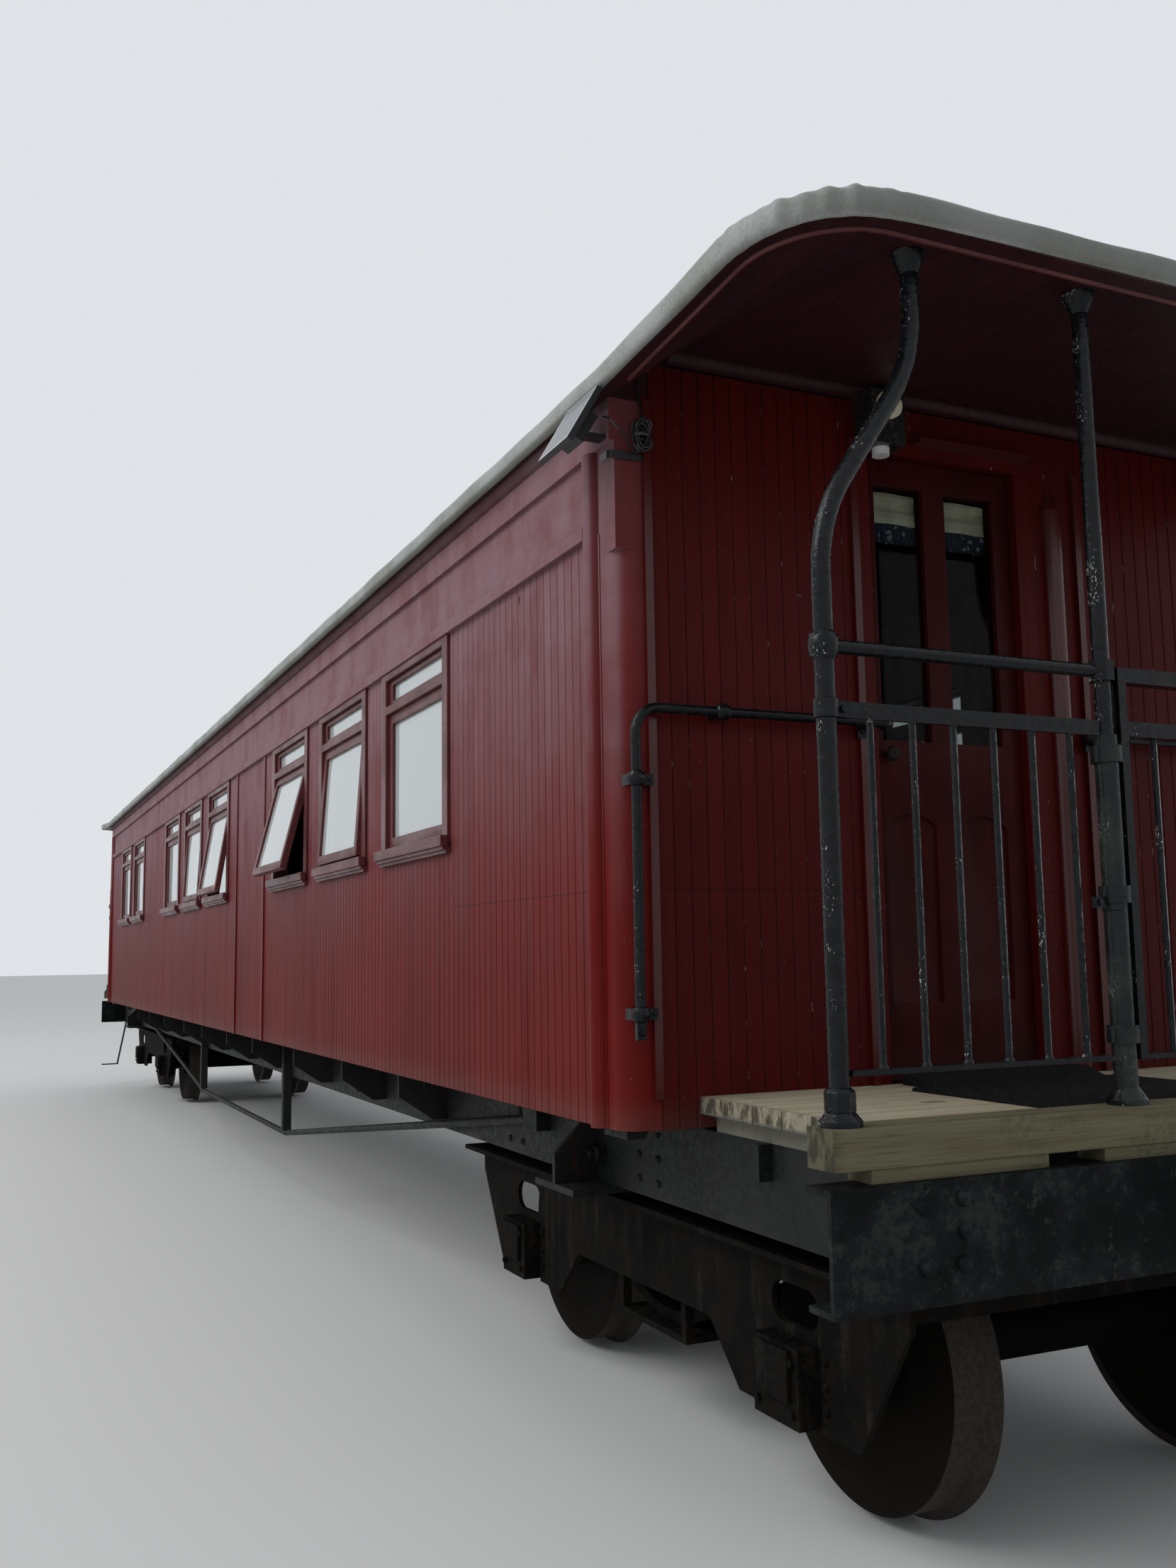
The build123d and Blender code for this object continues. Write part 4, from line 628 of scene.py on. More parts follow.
chalk, leaf_stain, moss = (0.300, 0.315, 0.300), (0.165, 0.172, 0.152), (0.080, 0.086, 0.066)
hem_darkening, front_shade_grey = (0.085, 0.08, 0.065), (0.105, 0.110, 0.096)
canvas, shader, place = new_finish("roof_canvas", "roof_canvas")
x, y, z = split(place)
grit, cloud = cloudy(place, 130.0, 5.0, 0.7), cloudy(place, 2.4, 6.0, 0.65)
stain = cloudy(stretched(place, 7, 2.5, 2.5), 1.0, 6.0, 0.65)
weave = (x * 2600.0).sine() * (y * 2600.0).sine()
colour = coated(
    chalk,
    (leaf_stain, cloud * 0.6 + grit * 0.4, 0.38, 0.66),
    (moss, stain * 0.7 + grit * 0.3, 0.56, 0.74, 0.0, 0.7),
)
# The lowest band of the rolled edge along the body sides is painted darker.
at_hem = ramp(z, 2.990, 3.004, 0.75, 0.0) * ramp(abs(x), half, half + 0.2, 1.0, 0.0)
# Faces that look along the coach, at the fronts of the canopies, are painted greyer and darker: painted shade.
front_shade = abs(facing(place)[0]) + (cloud - 0.5) * 0.6
colour = coated(blended(at_hem, colour, hem_darkening), (front_shade_grey, front_shade, 0.35, 0.95, 0.0, 0.72))
lay_on(shader, colour, ramp(cloud, 0.3, 0.7, 0.62, 0.85), grit * 0.6 + weave * 0.05 + cloud * 0.4, 0.0012)
points, faces = gathered(top_cloth, rolled_edge)
roof_cloth = add_piece("roof_canvas", points, faces[:, ::-1], canvas, sharp=60, closed=False)

# Canopies: the roof runs on over each platform above a ceiling of flat boards between sloping rims, all painted
# dark red, with paler spots where the paint has rubbed.
ceiling_board, ceiling_z = 0.115, 3.139
canopy_dark, canopy_deep = (0.034, 0.0062, 0.0080), (0.018, 0.0048, 0.0065)
canopy_rubbed, canopy_joint = (0.085, 0.038, 0.038), (0.012, 0.005, 0.006)
canopy_red, shader, place = new_finish("canopy_red", "body_red")
grit, cloud = cloudy(place, 70.0, 5.0, 0.65), cloudy(place, 2.0, 5.0)
long_grain = cloudy(stretched(place, 2, 24, 24), 1.0, 6.0)
near = from_line(split(place)[1] * (1 / ceiling_board))
colour = coated(
    canopy_dark,
    (canopy_deep, cloud * 0.5 + long_grain * 0.5, 0.35, 0.65),
    (canopy_rubbed, grit, 0.62, 0.80, 0.0, 0.30),
    (canopy_joint, near, 0.012, 0.030, 0.6, 0.0),
)
relief = ramp(near, 0.0, 0.03) * 0.7 + grit * 0.3
lay_on(shader, colour, ramp(grit, 0.3, 0.7, 0.42, 0.62), relief, 0.0015, Specular_IOR_Level=0.2)
dress(canopy_red, "canopies", "roof")


def moulded(profile, stations, out, top, axis):
    """Points and faces of two mouldings, one each side of the middle: a profile of (way out, height) pairs drawn
    along an axis between two stations."""
    shapes = []
    for side in (-1, 1):
        places = [side * (out + profile[:, 0]), top + profile[:, 1]]
        places.insert(axis, np.array(stations)[:, None])
        shapes.append(surface(*places, close_columns=True))
    return gathered(*shapes)


# A cornice goes across the end wall under the ceiling, and a quarter-round moulding fills the angle under the
# eaves along each side
cornice_size, cornice_half, eave_from, eave_to, eave_stand = 0.030, 1.055, -6.70, 6.56, 0.0152
arc = np.linspace(0, np.pi / 2, 6)
quarter_round = np.stack([np.sin(arc), 1 - np.cos(arc)], 1)
cornice = np.concatenate([[(0, -0.034)], quarter_round * cornice_size + (0, -cornice_size), [(0, 0)]])
add_piece("end_cornices", *moulded(cornice, (-cornice_half, cornice_half), half, ceiling_z, 1), canopy_red)
eave = np.concatenate([[(0, 0), (0, -0.036)], quarter_round * (0.015, 0.028) + (0.004, -0.034), [(0.020, 0)]])
eave_mouldings = moulded(eave, (eave_from, eave_to), skin + eave_stand, eave_low - 0.0003, 0)
# A half-round bead is nailed under the rim of each canopy and goes round its corners. Rays cast up to the canopy's
# underside give the bead's height.
bead_in, bead_half, bead_drop, bead_clear, past_body, cast_from = 0.052, 0.007, 0.008, 0.0006, 0.06, 2.80
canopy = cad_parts["canopies"]
world = np.array(canopy.matrix_world)
canopy_points = np.empty(len(canopy.data.vertices) * 3)
canopy.data.vertices.foreach_get("co", canopy_points)
canopy_points = canopy_points.reshape(-1, 3) @ world[:3, :3].T + world[:3, 3]
underside = BVHTree.FromPolygons(canopy_points.tolist(), [tuple(f.vertices) for f in canopy.data.polygons])
bead_round = np.linspace(np.pi, 2 * np.pi, 7)
beads = []
for end in (-1, 1):
    line = rim[rim[:, 0] * end > half + past_body]
    line = line[np.argsort(np.arctan2(line[:, 1], line[:, 0] * end - half))]
    inset = line[:, :2] - bead_in * line[:, 2:]
    height = np.array([underside.ray_cast(Vector((*spot, cast_from)), Vector((0, 0, 1)))[0].z for spot in inset])
    points, faces = surface(
        inset[:, :1] + bead_half * np.cos(bead_round) * line[:, 2:3],
        inset[:, 1:] + bead_half * np.cos(bead_round) * line[:, 3:],
        height[:, None] + bead_clear + bead_drop * np.sin(bead_round),
    )
    beads.append((points, faces[:, ::-end]))
add_piece("canopy_beads", *gathered(*beads), joinery, closed=False)
# The eave mouldings take a darker copy of the red: painted shade under the eaves.
add_piece("eave_mouldings", *eave_mouldings, red_paint("eave_shaded_red", 2.60, 2.99, 2, 0.5, depth=0.6))

# End walls: upright V-jointed boards like the sides, in the deep shade of the canopy. Their red is the sides' paint
# made darker, as painted shade, and kept fresher, without the paling. White flecks of old undercoat show along the
# joints.
end_spans, end_board_top = ((-1.112, -0.447), (0.447, 1.112)), 3.10
end_red = red_paint("end_red", 3.2, 4.2, 1, 0.36, 0.07, 0.60, 0.6)
for end_name, end in (("front", 1), ("rear", -1)):
    parts = []
    for span in end_spans:
        flat, faces = boarded(span, (board_low, end_board_top), [])
        parts.append((np.stack([end * (half + flat[:, 1]), flat[:, 0], flat[:, 2]], 1), faces[:, ::-end]))
    add_piece(f"end_boards_{end_name}", *gathered(*parts), end_red, closed=False)
dress(end_red, "end_wall_front", "end_wall_rear")
# The door posts take a glossier copy of the red, also darkened as painted shade.
dress(red_paint("trim_red", 2.4, 4.6, 2, 0.16, 0.42, 0.55), "door_posts")

# End doors: a framed leaf with two tall panes over two arch-topped panels, painted gloss maroon. A cream blind
# is rolled at the head of the panes inside, with a blue and white patterned valance below it.
deck_top, leaf_inner, leaf_outer = 1.080, 6.635, 6.675
maroon, maroon_deep, door_wear = (0.044, 0.0056, 0.0052), (0.027, 0.0040, 0.0042), (0.12, 0.07, 0.065)
kicked_dirt, knob_black = (0.045, 0.032, 0.027), (0.016, 0.013, 0.012)
door_paint, shader, place = new_finish("door_paint", "joinery_red")
x, _, z = split(place)
grit, cloud = cloudy(place, 110.0, 5.0, 0.65), cloudy(place, 4.0, 5.0)
grain = cloudy(stretched(place, 40, 40, 5), 1.0, 6.0)
colour = coated(
    maroon,
    (maroon_deep, cloud * 0.6 + grain * 0.4, 0.36, 0.64),
    (door_wear, grit * 0.6 + grain * 0.4, 0.64, 0.70, 0.0, 0.35),
    (kicked_dirt, z, deck_top, deck_top + 0.16, 0.35, 0.0),
    (knob_black, abs(x), leaf_outer + 0.0005, leaf_outer + 0.0015),
)
rough = ramp(cloud * 0.5 + grit * 0.5, 0.3, 0.7, 0.24, 0.46)
lay_on(shader, colour, rough, grain * 0.6 + grit * 0.4, 0.0006, Specular_IOR_Level=0.05)
blind_light, blind_crease_shade = (0.55, 0.52, 0.38), (0.42, 0.39, 0.29)
blind_cream, shader, place = new_finish("blind_cream", "lamp_cream")
_, y, z = split(place)
creases = cloudy(stretched(place, 60, 2, 60), 1.0, 3.0)
weft = (z * 4200.0).sine() + (y * 4200.0).sine()
# The cloth is darker in its creases: painted shade in the folds.
colour = coated(blind_light, (blind_crease_shade, creases, 0.35, 0.65))
lay_on(shader, colour, 0.85, weft * 0.1 + creases * 0.6, 0.0008)
cotton_pale, print_blue, print_dark = (0.20, 0.22, 0.25), (0.014, 0.020, 0.038), (0.009, 0.012, 0.022)
valance_print, shader, place = new_finish("valance_print", "roof_canvas")
cells = place.node("ShaderNodeTexVoronoi", {"feature": "F1"}, {"Vector": place, "Scale": 42.0}, "Distance")
leaves = cloudy(place, 55.0, 3.0)
colour = coated(
    cotton_pale, (print_blue, cells * 0.6 + leaves * 0.6, 0.40, 0.50), (print_dark, leaves, 0.52, 0.60),
)
lay_on(shader, colour, 0.88, cloudy(place, 900.0, 1.0), 0.0004)
# The blind's cloth comes over a roller, hangs in a fold and ends in a stitched hem pocket
wall, blind_past, blind_drop = leaf_inner - 0.0004, 0.012, 0.150
roller_x, roller_z, roller_radius = wall - 0.0215, 2.850, 0.020
turn = np.linspace(0.5 * np.pi, 2.2 * np.pi, 18)[::-1]
over_roller = np.stack([roller_x + roller_radius * np.cos(turn), roller_z + roller_radius * np.sin(turn)], 1)
fall = ((-0.014, 2.826), (-0.010, 2.815), (-0.006, 2.805), (-0.003, 2.799), (-0.002, 2.790), (-0.002, 2.764))
outline = np.concatenate([over_roller, np.add(fall, (wall, 0))])
# The valance is a strip of printed cotton gathered on a wire, so that it stands in small upright folds
along, drop = np.linspace(0, 1, 64)[:, None], np.linspace(0, 1, 9)
valance_top, valance_drop, valance_past, fullness, fold_count = 2.766, 0.064, 0.010, 1.25, 8.5
fold_turn = along * 2 * np.pi * fold_count
fold = 0.0045 * np.sin(fold_turn + 0.8 * np.sin(along * 19))
valance_x = wall - 0.0065 + fold * (0.45 + 0.55 * drop)
valance_z = valance_top + (0.0020 * np.sin(fold_turn + 1.2) - valance_drop) * drop
for end_name, end in (("front", 1), ("rear", -1)):
    body, leaf = f"door_{end_name}", f"door_leaf_{end_name}"
    softened(f"end_door_{end_name}", leaf, 0.0022, door_paint, body)
    for part, (pane_left, pane_right) in zip("ab", ((-0.332, -0.150), (-0.066, 0.121))):
        stations = np.linspace(pane_left - blind_past, pane_right + blind_past, 14)[:, None]
        points, faces = surface(end * outline[:, 0], stations, outline[:, 1] + 0.0012 * np.sin(stations * 47.0))
        name = f"door_blind_{end_name}_{part}"
        blind = add_piece(name, points, faces[:, ::end], blind_cream, body, closed=False)
        wide = pane_right - pane_left + 2 * valance_past
        points, faces = surface(end * valance_x, pane_left - valance_past + wide * along, valance_z)
        name = f"door_valance_{end_name}_{part}"
        valance = add_piece(name, points, faces[:, ::end], valance_print, body, closed=False)

# Platform lamps: a black box with a cream glass lens over each end door and a small white dome under it. Insects
# and dust have left the lens speckled.
lens_out, dome_top = 6.7952, 2.9495
box_black, lens_cream = (0.013, 0.012, 0.012), (0.70, 0.64, 0.46)
dome_white, lamp_dirt = (0.62, 0.62, 0.60), (0.10, 0.085, 0.07)
lamp_finish, shader, place = new_finish("lamp_finish", "lamp_cream")
x, _, z = split(place)
grit = cloudy(place, 80.0, 5.0)
colour = coated(
    box_black,
    (lens_cream, abs(x), lens_out, lens_out + 0.0004),
    (dome_white, z, dome_top, dome_top + 0.0005, 1.0, 0.0),
    (lamp_dirt, grit, 0.52, 0.75, 0.0, 0.4),
)
lay_on(shader, colour, ramp(grit, 0.3, 0.7, 0.2, 0.4), grit, 0.0005)
dress(lamp_finish, "lamps")

# Platforms: six weathered boards lie across the coach on edge joists, and a newer pine beam stands on packing
# blocks along the front. Feet and rain have raised the grain, and dirt sits at the board ends.
deck_front, boards_across, joist_top = 7.510, 6, 1.040
board_width = (deck_front - half) / boards_across
deck_grey, deck_warm, deck_dark = (0.360, 0.330, 0.250), (0.290, 0.245, 0.160), (0.065, 0.056, 0.040)
pine_light, pine_warm, pine_dark = (0.125, 0.117, 0.068), (0.092, 0.080, 0.045), (0.026, 0.023, 0.014)
end_dirt, joist_shade_grey = (0.030, 0.024, 0.018), (0.100, 0.102, 0.088)


def timber(name, light, warm, dark, dark_from, wear, gaps_show):
    """Sawn wood that lies along Y: long grain, knots, dark edges beside the gaps, ends dark beyond dark_from, and
    painted shade on the joists under the boards.
    """
    made, shader, place = new_finish(name, name)
    x, y, z = split(place)
    bands = cloudy(stretched(place, 34, 1.6, 34), 1.0, 6.0, 0.6)
    fibre = cloudy(stretched(place, 240, 7, 240), 1.0, 4.0, 0.6)
    cloud, grit = cloudy(place, 3.4, 5.0, 0.6), cloudy(place, 75.0, 6.0, 0.7)
    long = stretched(place, 5.0, 2.1, 5.0)
    knots = long.node("ShaderNodeTexVoronoi", {"feature": "F1"}, {"Vector": long, "Scale": 1.0}, "Distance")
    ends, gap = abs(y), from_line((abs(x) - half) * (1 / board_width))
    colour = coated(
        light,
        (warm, bands * 0.7 + fibre * 0.3, 0.36, 0.64),
        (dark, fibre * 0.55 + bands * 0.25 + grit * 0.2, 0.52, 0.70, 0.0, 0.6 * wear),
        (dark, knots, 0.05, 0.11, 0.75, 0.0),
        (dark, cloud * 0.6 + grit * 0.4, 0.52, 0.70, 0.0, 0.75 * wear),
        (dark, ends + (grit - 0.5) * 0.03, dark_from - 0.02, dark_from + 0.012, 0.0, 0.35 * wear),
    )
    stain = ramp(cloudy(stretched(place, 1, 1, 0.4), 34.0, 5.0, 0.65), 0.44, 0.58, 0.0, 0.85)
    # Below the boards the joists are painted a darker grey: painted shade under the deck.
    colour = coated(
        blended(ramp(ends, dark_from + 0.012, dark_from + 0.014) * stain, colour, end_dirt),
        (dark, gap, 0.012, 0.035, 0.45 * gaps_show, 0.0),
        (joist_shade_grey, z, joist_top, joist_top + 0.004, 0.8 * gaps_show, 0.0),
    )
    rough = ramp(fibre, 0.3, 0.7, 0.68, 0.92)
    lay_on(shader, colour, rough, fibre * 0.6 + bands * 0.4, 0.0016, Specular_IOR_Level=0.2)
    return made


deck_wood = timber("deck_timber", deck_grey, deck_warm, deck_dark, 0.985, 1.0, 1.0)
pine = timber("pine_beam", pine_light, pine_warm, pine_dark, 1.180, 0.8, 0.0)
softened("platform_decks", "deck_boards", 0.0018, deck_wood)
softened("end_beams", "pine_beams", 0.004, pine)

# Doormat: a black ribbed rubber mat lies by the door, with a ribbed ramp against the threshold. Each is moulded
# in one piece and lies loose on the boards.
rubber_black, rubber_dust = (0.0045, 0.0045, 0.0050), (0.026, 0.024, 0.020)
rubber_edge, deck_clear = 0.004, 0.0006
rubber, shader, place = new_finish("rubber_mat", "black_iron")
grit = cloudy(place, 150.0, 5.0, 0.7)
lay_on(shader, coated(rubber_black, (rubber_dust, grit, 0.45, 0.75)), 0.86, grit, 0.0015, Specular_IOR_Level=0.1)


def ribbed(x_low, x_high, y_low, y_high, rise, rib_pitch, rib_height):
    """A flat slab whose top is ribbed: its height is the rise at each X plus the positive half of a sine of X."""
    px = np.linspace(x_low, x_high, int((x_high - x_low) / rib_pitch * 6) + 1)[:, None]
    top = rise(px) + rib_height * np.clip(np.sin((px - x_low) / rib_pitch * 2 * np.pi), 0, 1)
    py = np.array([y_low, y_low, y_low + rubber_edge, y_high - rubber_edge, y_high, y_high])
    base = deck_top + deck_clear
    return surface(px, py, base + (top - base) * np.array([0, 0.7, 1, 1, 0.7, 0]), close_columns=True)


mat_thick, ramp_high, ramp_back, ramp_run = 0.008, 0.028, 6.872, 0.075
mat = ribbed(6.895, 7.470, -0.450, 0.290, lambda px: deck_top + mat_thick, 0.012, 0.003)
add_piece("doormat", *mat, rubber)
sill_ramp = ribbed(
    6.742, 6.865, -0.365, 0.280,
    lambda px: deck_top + ramp_high * np.clip((ramp_back - px) / ramp_run, 0.15, 1), 0.010, 0.0022,
)
add_piece("threshold_ramp", *sill_ramp, rubber)

# Ironwork: swan-necked and straight pipe posts, railings, gates and handrails in thick black gloss. Many coats
# have left it lumpy, and on edges and weather sides it has chipped to white undercoat and rust.
iron_black, undercoat, dull_iron = (0.0030, 0.0038, 0.0048), (0.34, 0.35, 0.34), (0.0095, 0.0115, 0.0125)
chip_rust, sleeve_green, splashed_red = (0.022, 0.012, 0.008), (0.020, 0.027, 0.023), (0.050, 0.018, 0.018)


def ironwork(name, chipping, base=iron_black, gloss=0.13):
    """Thick black gloss paint. Chips come where coarse and fine noise are both high, more of them to the -Y side.
    The gates' sleeves have weathered greenish, and the posts' heads are splashed with the canopy's red."""
    made, shader, place = new_finish(name, "black_iron")
    lumps, orange = cloudy(place, 48.0, 3.0, 0.5), cloudy(place, 190.0, 3.0, 0.5)
    coarse, fine = cloudy(place, 9.0, 3.0, 0.5), cloudy(stretched(place, 1, 1, 0.5), 230.0, 3.0, 0.6)
    mask = coarse * 0.45 + fine * 0.55 + ramp(facing(place)[1], -0.9, 0.3, 0.06, 0.0)
    chips = ramp(mask, 0.655 - chipping, 0.670 - chipping)
    colour = coated(
        base,
        (dull_iron, lumps, 0.35, 0.7, 0.0, 0.5),
        (chip_rust, mask, 0.640 - chipping, 0.655 - chipping, 0.0, 0.8),
    )
    _, y, z = split(place)
    inner = abs(y)
    sleeve = ramp(inner, 0.38, 0.39, 1.0, 0.0) * ramp(inner, 0.315, 0.32) * ramp(z, 1.955, 1.965, 1.0, 0.0)
    colour = blended(sleeve * ramp(coarse, 0.35, 0.6, 0.3, 0.9) * 0.8, blended(chips, colour, undercoat), sleeve_green)
    splash = ramp(z, 3.055, 3.065, 0.0, 0.8) * ramp(y, -0.6, -0.5, 1.0, 0.0)
    relief = lumps * 0.75 + orange * 0.25 - chips * 0.25
    rough = ramp(mask, 0.5, 0.66, gloss, 0.55)
    lay_on(shader, blended(splash, colour, splashed_red), rough, relief, 0.0022, Specular_IOR_Level=0.2)
    return made


post_paint, rail_paint = ironwork("post_paint", 0.005), ironwork("rail_paint", -0.02)
dress(post_paint, "platform_posts")
dress(rail_paint, "railings", "gangway_gate_front", "gangway_gate_rear", "handrails")
dress(ironwork("hinge_steel", 0.0, (0.020, 0.018, 0.016), 0.35), "door_hinges")

# Fittings of the railings: a strap clamp closed by a bolt goes round each corner post at the second rail, and the
# bars are welded into the low rail.
post_x, corner_post_y, gate_post_y, bar_pitch = 7.556, 1.140, 0.349, 0.113
clamp_z, clamp_back, ear_half = 1.975, 0.040, (0.0085, 0.016, 0.018)
low_rail_top, weld = 1.2128, np.array([(0, 0.0115), (0.004, 0.0105), (0.008, 0.0085)])
clamp_band = np.array([(0.0228, -0.022), (0.0268, -0.020), (0.0268, 0.020), (0.0228, 0.022)])
clamp_head = np.array([(0, 0.0095), (0.007, 0.0095), (0.008, 0.001)])
quarters = [(end, side) for end in (-1, 1) for side in (-1, 1)]


def strapped(centre, band, turn, x_side=1, y_side=1, whole=False):
    """Points and faces of a strap round an upright pipe: the band's (radius, height) pairs go through the angles
    of the turn, which x_side and y_side mirror. A whole ring is left open inside, where the pipe is."""
    px = centre[0] + x_side * band[:, 0] * np.cos(turn)[:, None]
    py = centre[1] + y_side * band[:, 0] * np.sin(turn)[:, None]
    return surface(px, py, centre[2] + band[:, 1], close_rows=whole, close_columns=not whole)


def block(centre, reach):
    """The two opposite corners of a block, from its centre and half its size each way."""
    return np.subtract(centre, reach), np.add(centre, reach)


fittings = []
for end, side in quarters:
    centre = (end * post_x, side * corner_post_y, clamp_z)
    ear = (end * post_x, side * (corner_post_y - clamp_back), clamp_z)
    bars = side * (gate_post_y + bar_pitch * np.arange(1, 7))
    fittings += [
        strapped(centre, clamp_band, np.arange(24) * np.pi / 12, whole=True),
        boxes(block(ear, ear_half)),
        *(turned([np.add(ear, (out * ear_half[0], 0, 0))], clamp_head, (out, 0, 0), 6) for out in (1, -1)),
        turned([(end * post_x, py, low_rail_top) for py in bars], weld, (0, 0, 1), 10),
    ]
add_piece("rail_fittings", *gathered(*fittings), rail_paint)
# Swelled collars: cast balls where the pipe rail meets the corner posts, eight-sided sockets above the feet, and on
# the sleeves of the gate posts half a clamp whose bolted ear points away from the gate
ball_z, socket_z, half_clamp_z = 2.113, 1.128, 1.563
ball = np.array([
    (-0.031, 0.0226), (-0.025, 0.0285), (-0.014, 0.0325), (0.0, 0.0338), (0.014, 0.0325), (0.025, 0.0285),
    (0.031, 0.0226),
])
socket = np.array([(0.0, 0.0305), (0.003, 0.0335), (0.042, 0.0335), (0.047, 0.0300), (0.052, 0.0232)])
ear_out, ear_reach, bolt_out = 0.0475, (0.007, 0.0185, 0.013), 0.053
half_band = np.array([(0.0272, -0.020), (0.0312, -0.018), (0.0312, 0.018), (0.0272, 0.020)])
ear_bolt = np.array([(0, 0.0085), (0.006, 0.0085), (0.007, 0.001)])
fittings = [
    turned([(end * post_x, side * corner_post_y, pz) for end, side in quarters], shape, (0, 0, 1), sides)
    for pz, shape, sides in ((ball_z, ball, 18), (socket_z, socket, 8))
]
for end, side in quarters:
    centre = (end * post_x, side * gate_post_y, half_clamp_z)
    ear, bolt = (np.add(centre, (0, side * out, 0)) for out in (ear_out, bolt_out))
    fittings += [
        strapped(centre, half_band, np.linspace(0.06 * np.pi, 0.94 * np.pi, 15), y_side=side),
        boxes(block(ear, ear_reach)),
        *(turned([np.add(bolt, (out * ear_reach[0], 0, 0))], ear_bolt, (out, 0, 0), 6) for out in (-1, 1)),
    ]
add_piece("post_collars", *gathered(*fittings), post_paint, sharp=30)
# Each post's foot is held by two coach screws
foot_top, screw_apart = 1.1118, 0.036
screw_head = np.array([(0, 0.0075), (0.006, 0.0075), (0.0068, 0.001)])
spots = [
    (end * post_x, side * py + shift, foot_top)
    for end, side in quarters for py in (corner_post_y, gate_post_y) for shift in (-screw_apart, screw_apart)
]
add_piece("foot_screws", *turned(spots, screw_head, (0, 0, 1), 6), rail_paint)

# Solar lamp: a small panel of dark cells in a pale metal rim leans out under the eave on the photographed corner,
# with its black case behind on a stay. Its lead hangs from the case in a short loop and ends in a tied hank.
lean, cell_wide, cell_high = math.radians(30), 0.046, 0.0583
panel_middle, panel_top_y, panel_top_z = 6.675, -1.284, 2.975
cell_blue, finger_grey, gap_grey = (0.0055, 0.0085, 0.020), (0.05, 0.055, 0.065), (0.10, 0.11, 0.12)
rim_grey, case_black, case_dust = (0.30, 0.31, 0.32), (0.0065, 0.0070, 0.0080), (0.016, 0.016, 0.017)
solar_black, shader, place = new_finish("solar_black", "solar_black")
x, y, z = split(place)
aside, from_y, from_z = x - panel_middle, y - panel_top_y, z - panel_top_z
out, down = from_z * math.sin(lean) - from_y * math.cos(lean), from_y * -math.sin(lean) - from_z * math.cos(lean)
face = ramp(out, 0.0170, 0.0176)
cell_x, cell_y = (aside * (1 / cell_wide) + 0.5) % 1.0, (down * (1 / cell_high) + 0.04) % 1.0
gaps = ramp(cell_x, 0.02, 0.04, 1.0, 0.0) + ramp(cell_y, 0.02, 0.035, 1.0, 0.0)
metal_rim = ramp(abs(aside), 0.0915, 0.0920) + ramp(down, 0.0080, 0.0085, 1.0, 0.0) + ramp(down, 0.1765, 0.1770)
grit = cloudy(place, 120.0, 4.0)
colour = coated(cell_blue, (finger_grey, (cell_x * 12.0) % 1.0, 0.06, 0.10, 0.35, 0.0))
colour = blended(metal_rim, blended(gaps * 0.5, colour, gap_grey), rim_grey)
colour = blended(face, blended(grit, case_black, case_dust), colour)
lay_on(shader, colour, ramp(face, 0.0, 1.0, 0.42, 0.13), grit, 0.0003)
dress(solar_black, "solar_lamp")
lead_black, shader, place = new_finish("lead_black", "solar_black")
grit = cloudy(place, 220.0, 4.0)
lay_on(shader, blended(grit, (0.006, 0.006, 0.007), (0.022, 0.022, 0.023)), 0.38, grit, 0.0003)
# The lead's route. The hank's turns are ovals that stand on the corner post, no two of one size, pinched where
# they are tied, and its loose end goes up the post to the ceiling.
hank_y, hank_z, turns, steps = -1.152, 2.876, 8, 8
leave = np.array([(6.722, -1.262, 2.918), (6.762, -1.268, 2.905), (6.790, -1.250, 2.868), (6.772, -1.222, 2.862)])
count = np.arange(turns * steps)
angle = count / steps * 2 * np.pi - 2.2
half_wide = 0.027 + 0.0065 * np.sin(count * 0.61 + 1.0)
half_high = 0.044 + 0.0055 * np.sin(count * 0.37)
pinch = 1 - 0.35 * np.exp(-((np.sin(angle) / 0.5) ** 2))
hank = np.stack([
    6.722 + 0.0048 * (count // steps) + 0.004 * np.sin(angle * 2 + count * 0.2),
    hank_y + half_wide * pinch * np.cos(angle) + 0.30 * half_high * np.sin(angle) * np.cos(count * 0.21),
    hank_z + half_high * np.sin(angle),
], 1)
rise = [
    (6.742, -1.150, 2.930), (6.722, -1.146, 2.965), (6.714, -1.146, 3.010), (6.714, -1.147, 3.060),
    (6.714, -1.148, 3.100),
]
route = np.concatenate([leave, hank, rise])
lead_curve = bpy.data.curves.new("solar_lead", "CURVE")
lead_curve.dimensions = "3D"
lead_curve.bevel_depth, lead_curve.bevel_resolution, lead_curve.use_fill_caps = 0.003, 3, True
run = lead_curve.splines.new("NURBS")
run.points.add(len(route) - 1)
run.points.foreach_set("co", np.concatenate([route, np.ones((len(route), 1))], 1).ravel())
run.order_u, run.use_endpoint_u, run.resolution_u = 3, True, 4
lead_curve.materials.append(lead_black)
solar_lead = bpy.data.objects.new("solar_lead", lead_curve)
bpy.context.scene.collection.objects.link(solar_lead)
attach(solar_lead, "coach")
# A tie goes round the hank's waist, and a bent steel strap holds it to the post
tie_turn, tie_ring = (np.arange(24) * np.pi / 12)[:, None], np.arange(8) * np.pi / 4
tie_out = 0.021 + 0.0022 * np.cos(tie_ring)
hank_tie = surface(
    6.738 + tie_out * np.cos(tie_turn), hank_y + (tie_out + 0.003) * np.sin(tie_turn),
    hank_z + 0.006 * np.sin(tie_ring), close_rows=True, close_columns=True,
)
add_piece("hank_tie", *hank_tie, lead_black)
strap_line = np.array([
    (6.660, -1.2385), (6.700, -1.2385), (6.7085, -1.2355), (6.7105, -1.228), (6.7105, -1.150), (6.7105, -1.112),
])
strap_low, strap_high, strap_thick = 2.812, 2.834, 0.0022
along = np.gradient(strap_line, axis=0)
outward = np.abs(along[:, ::-1]) * (1, -1) / np.linalg.norm(along, axis=1)[:, None]
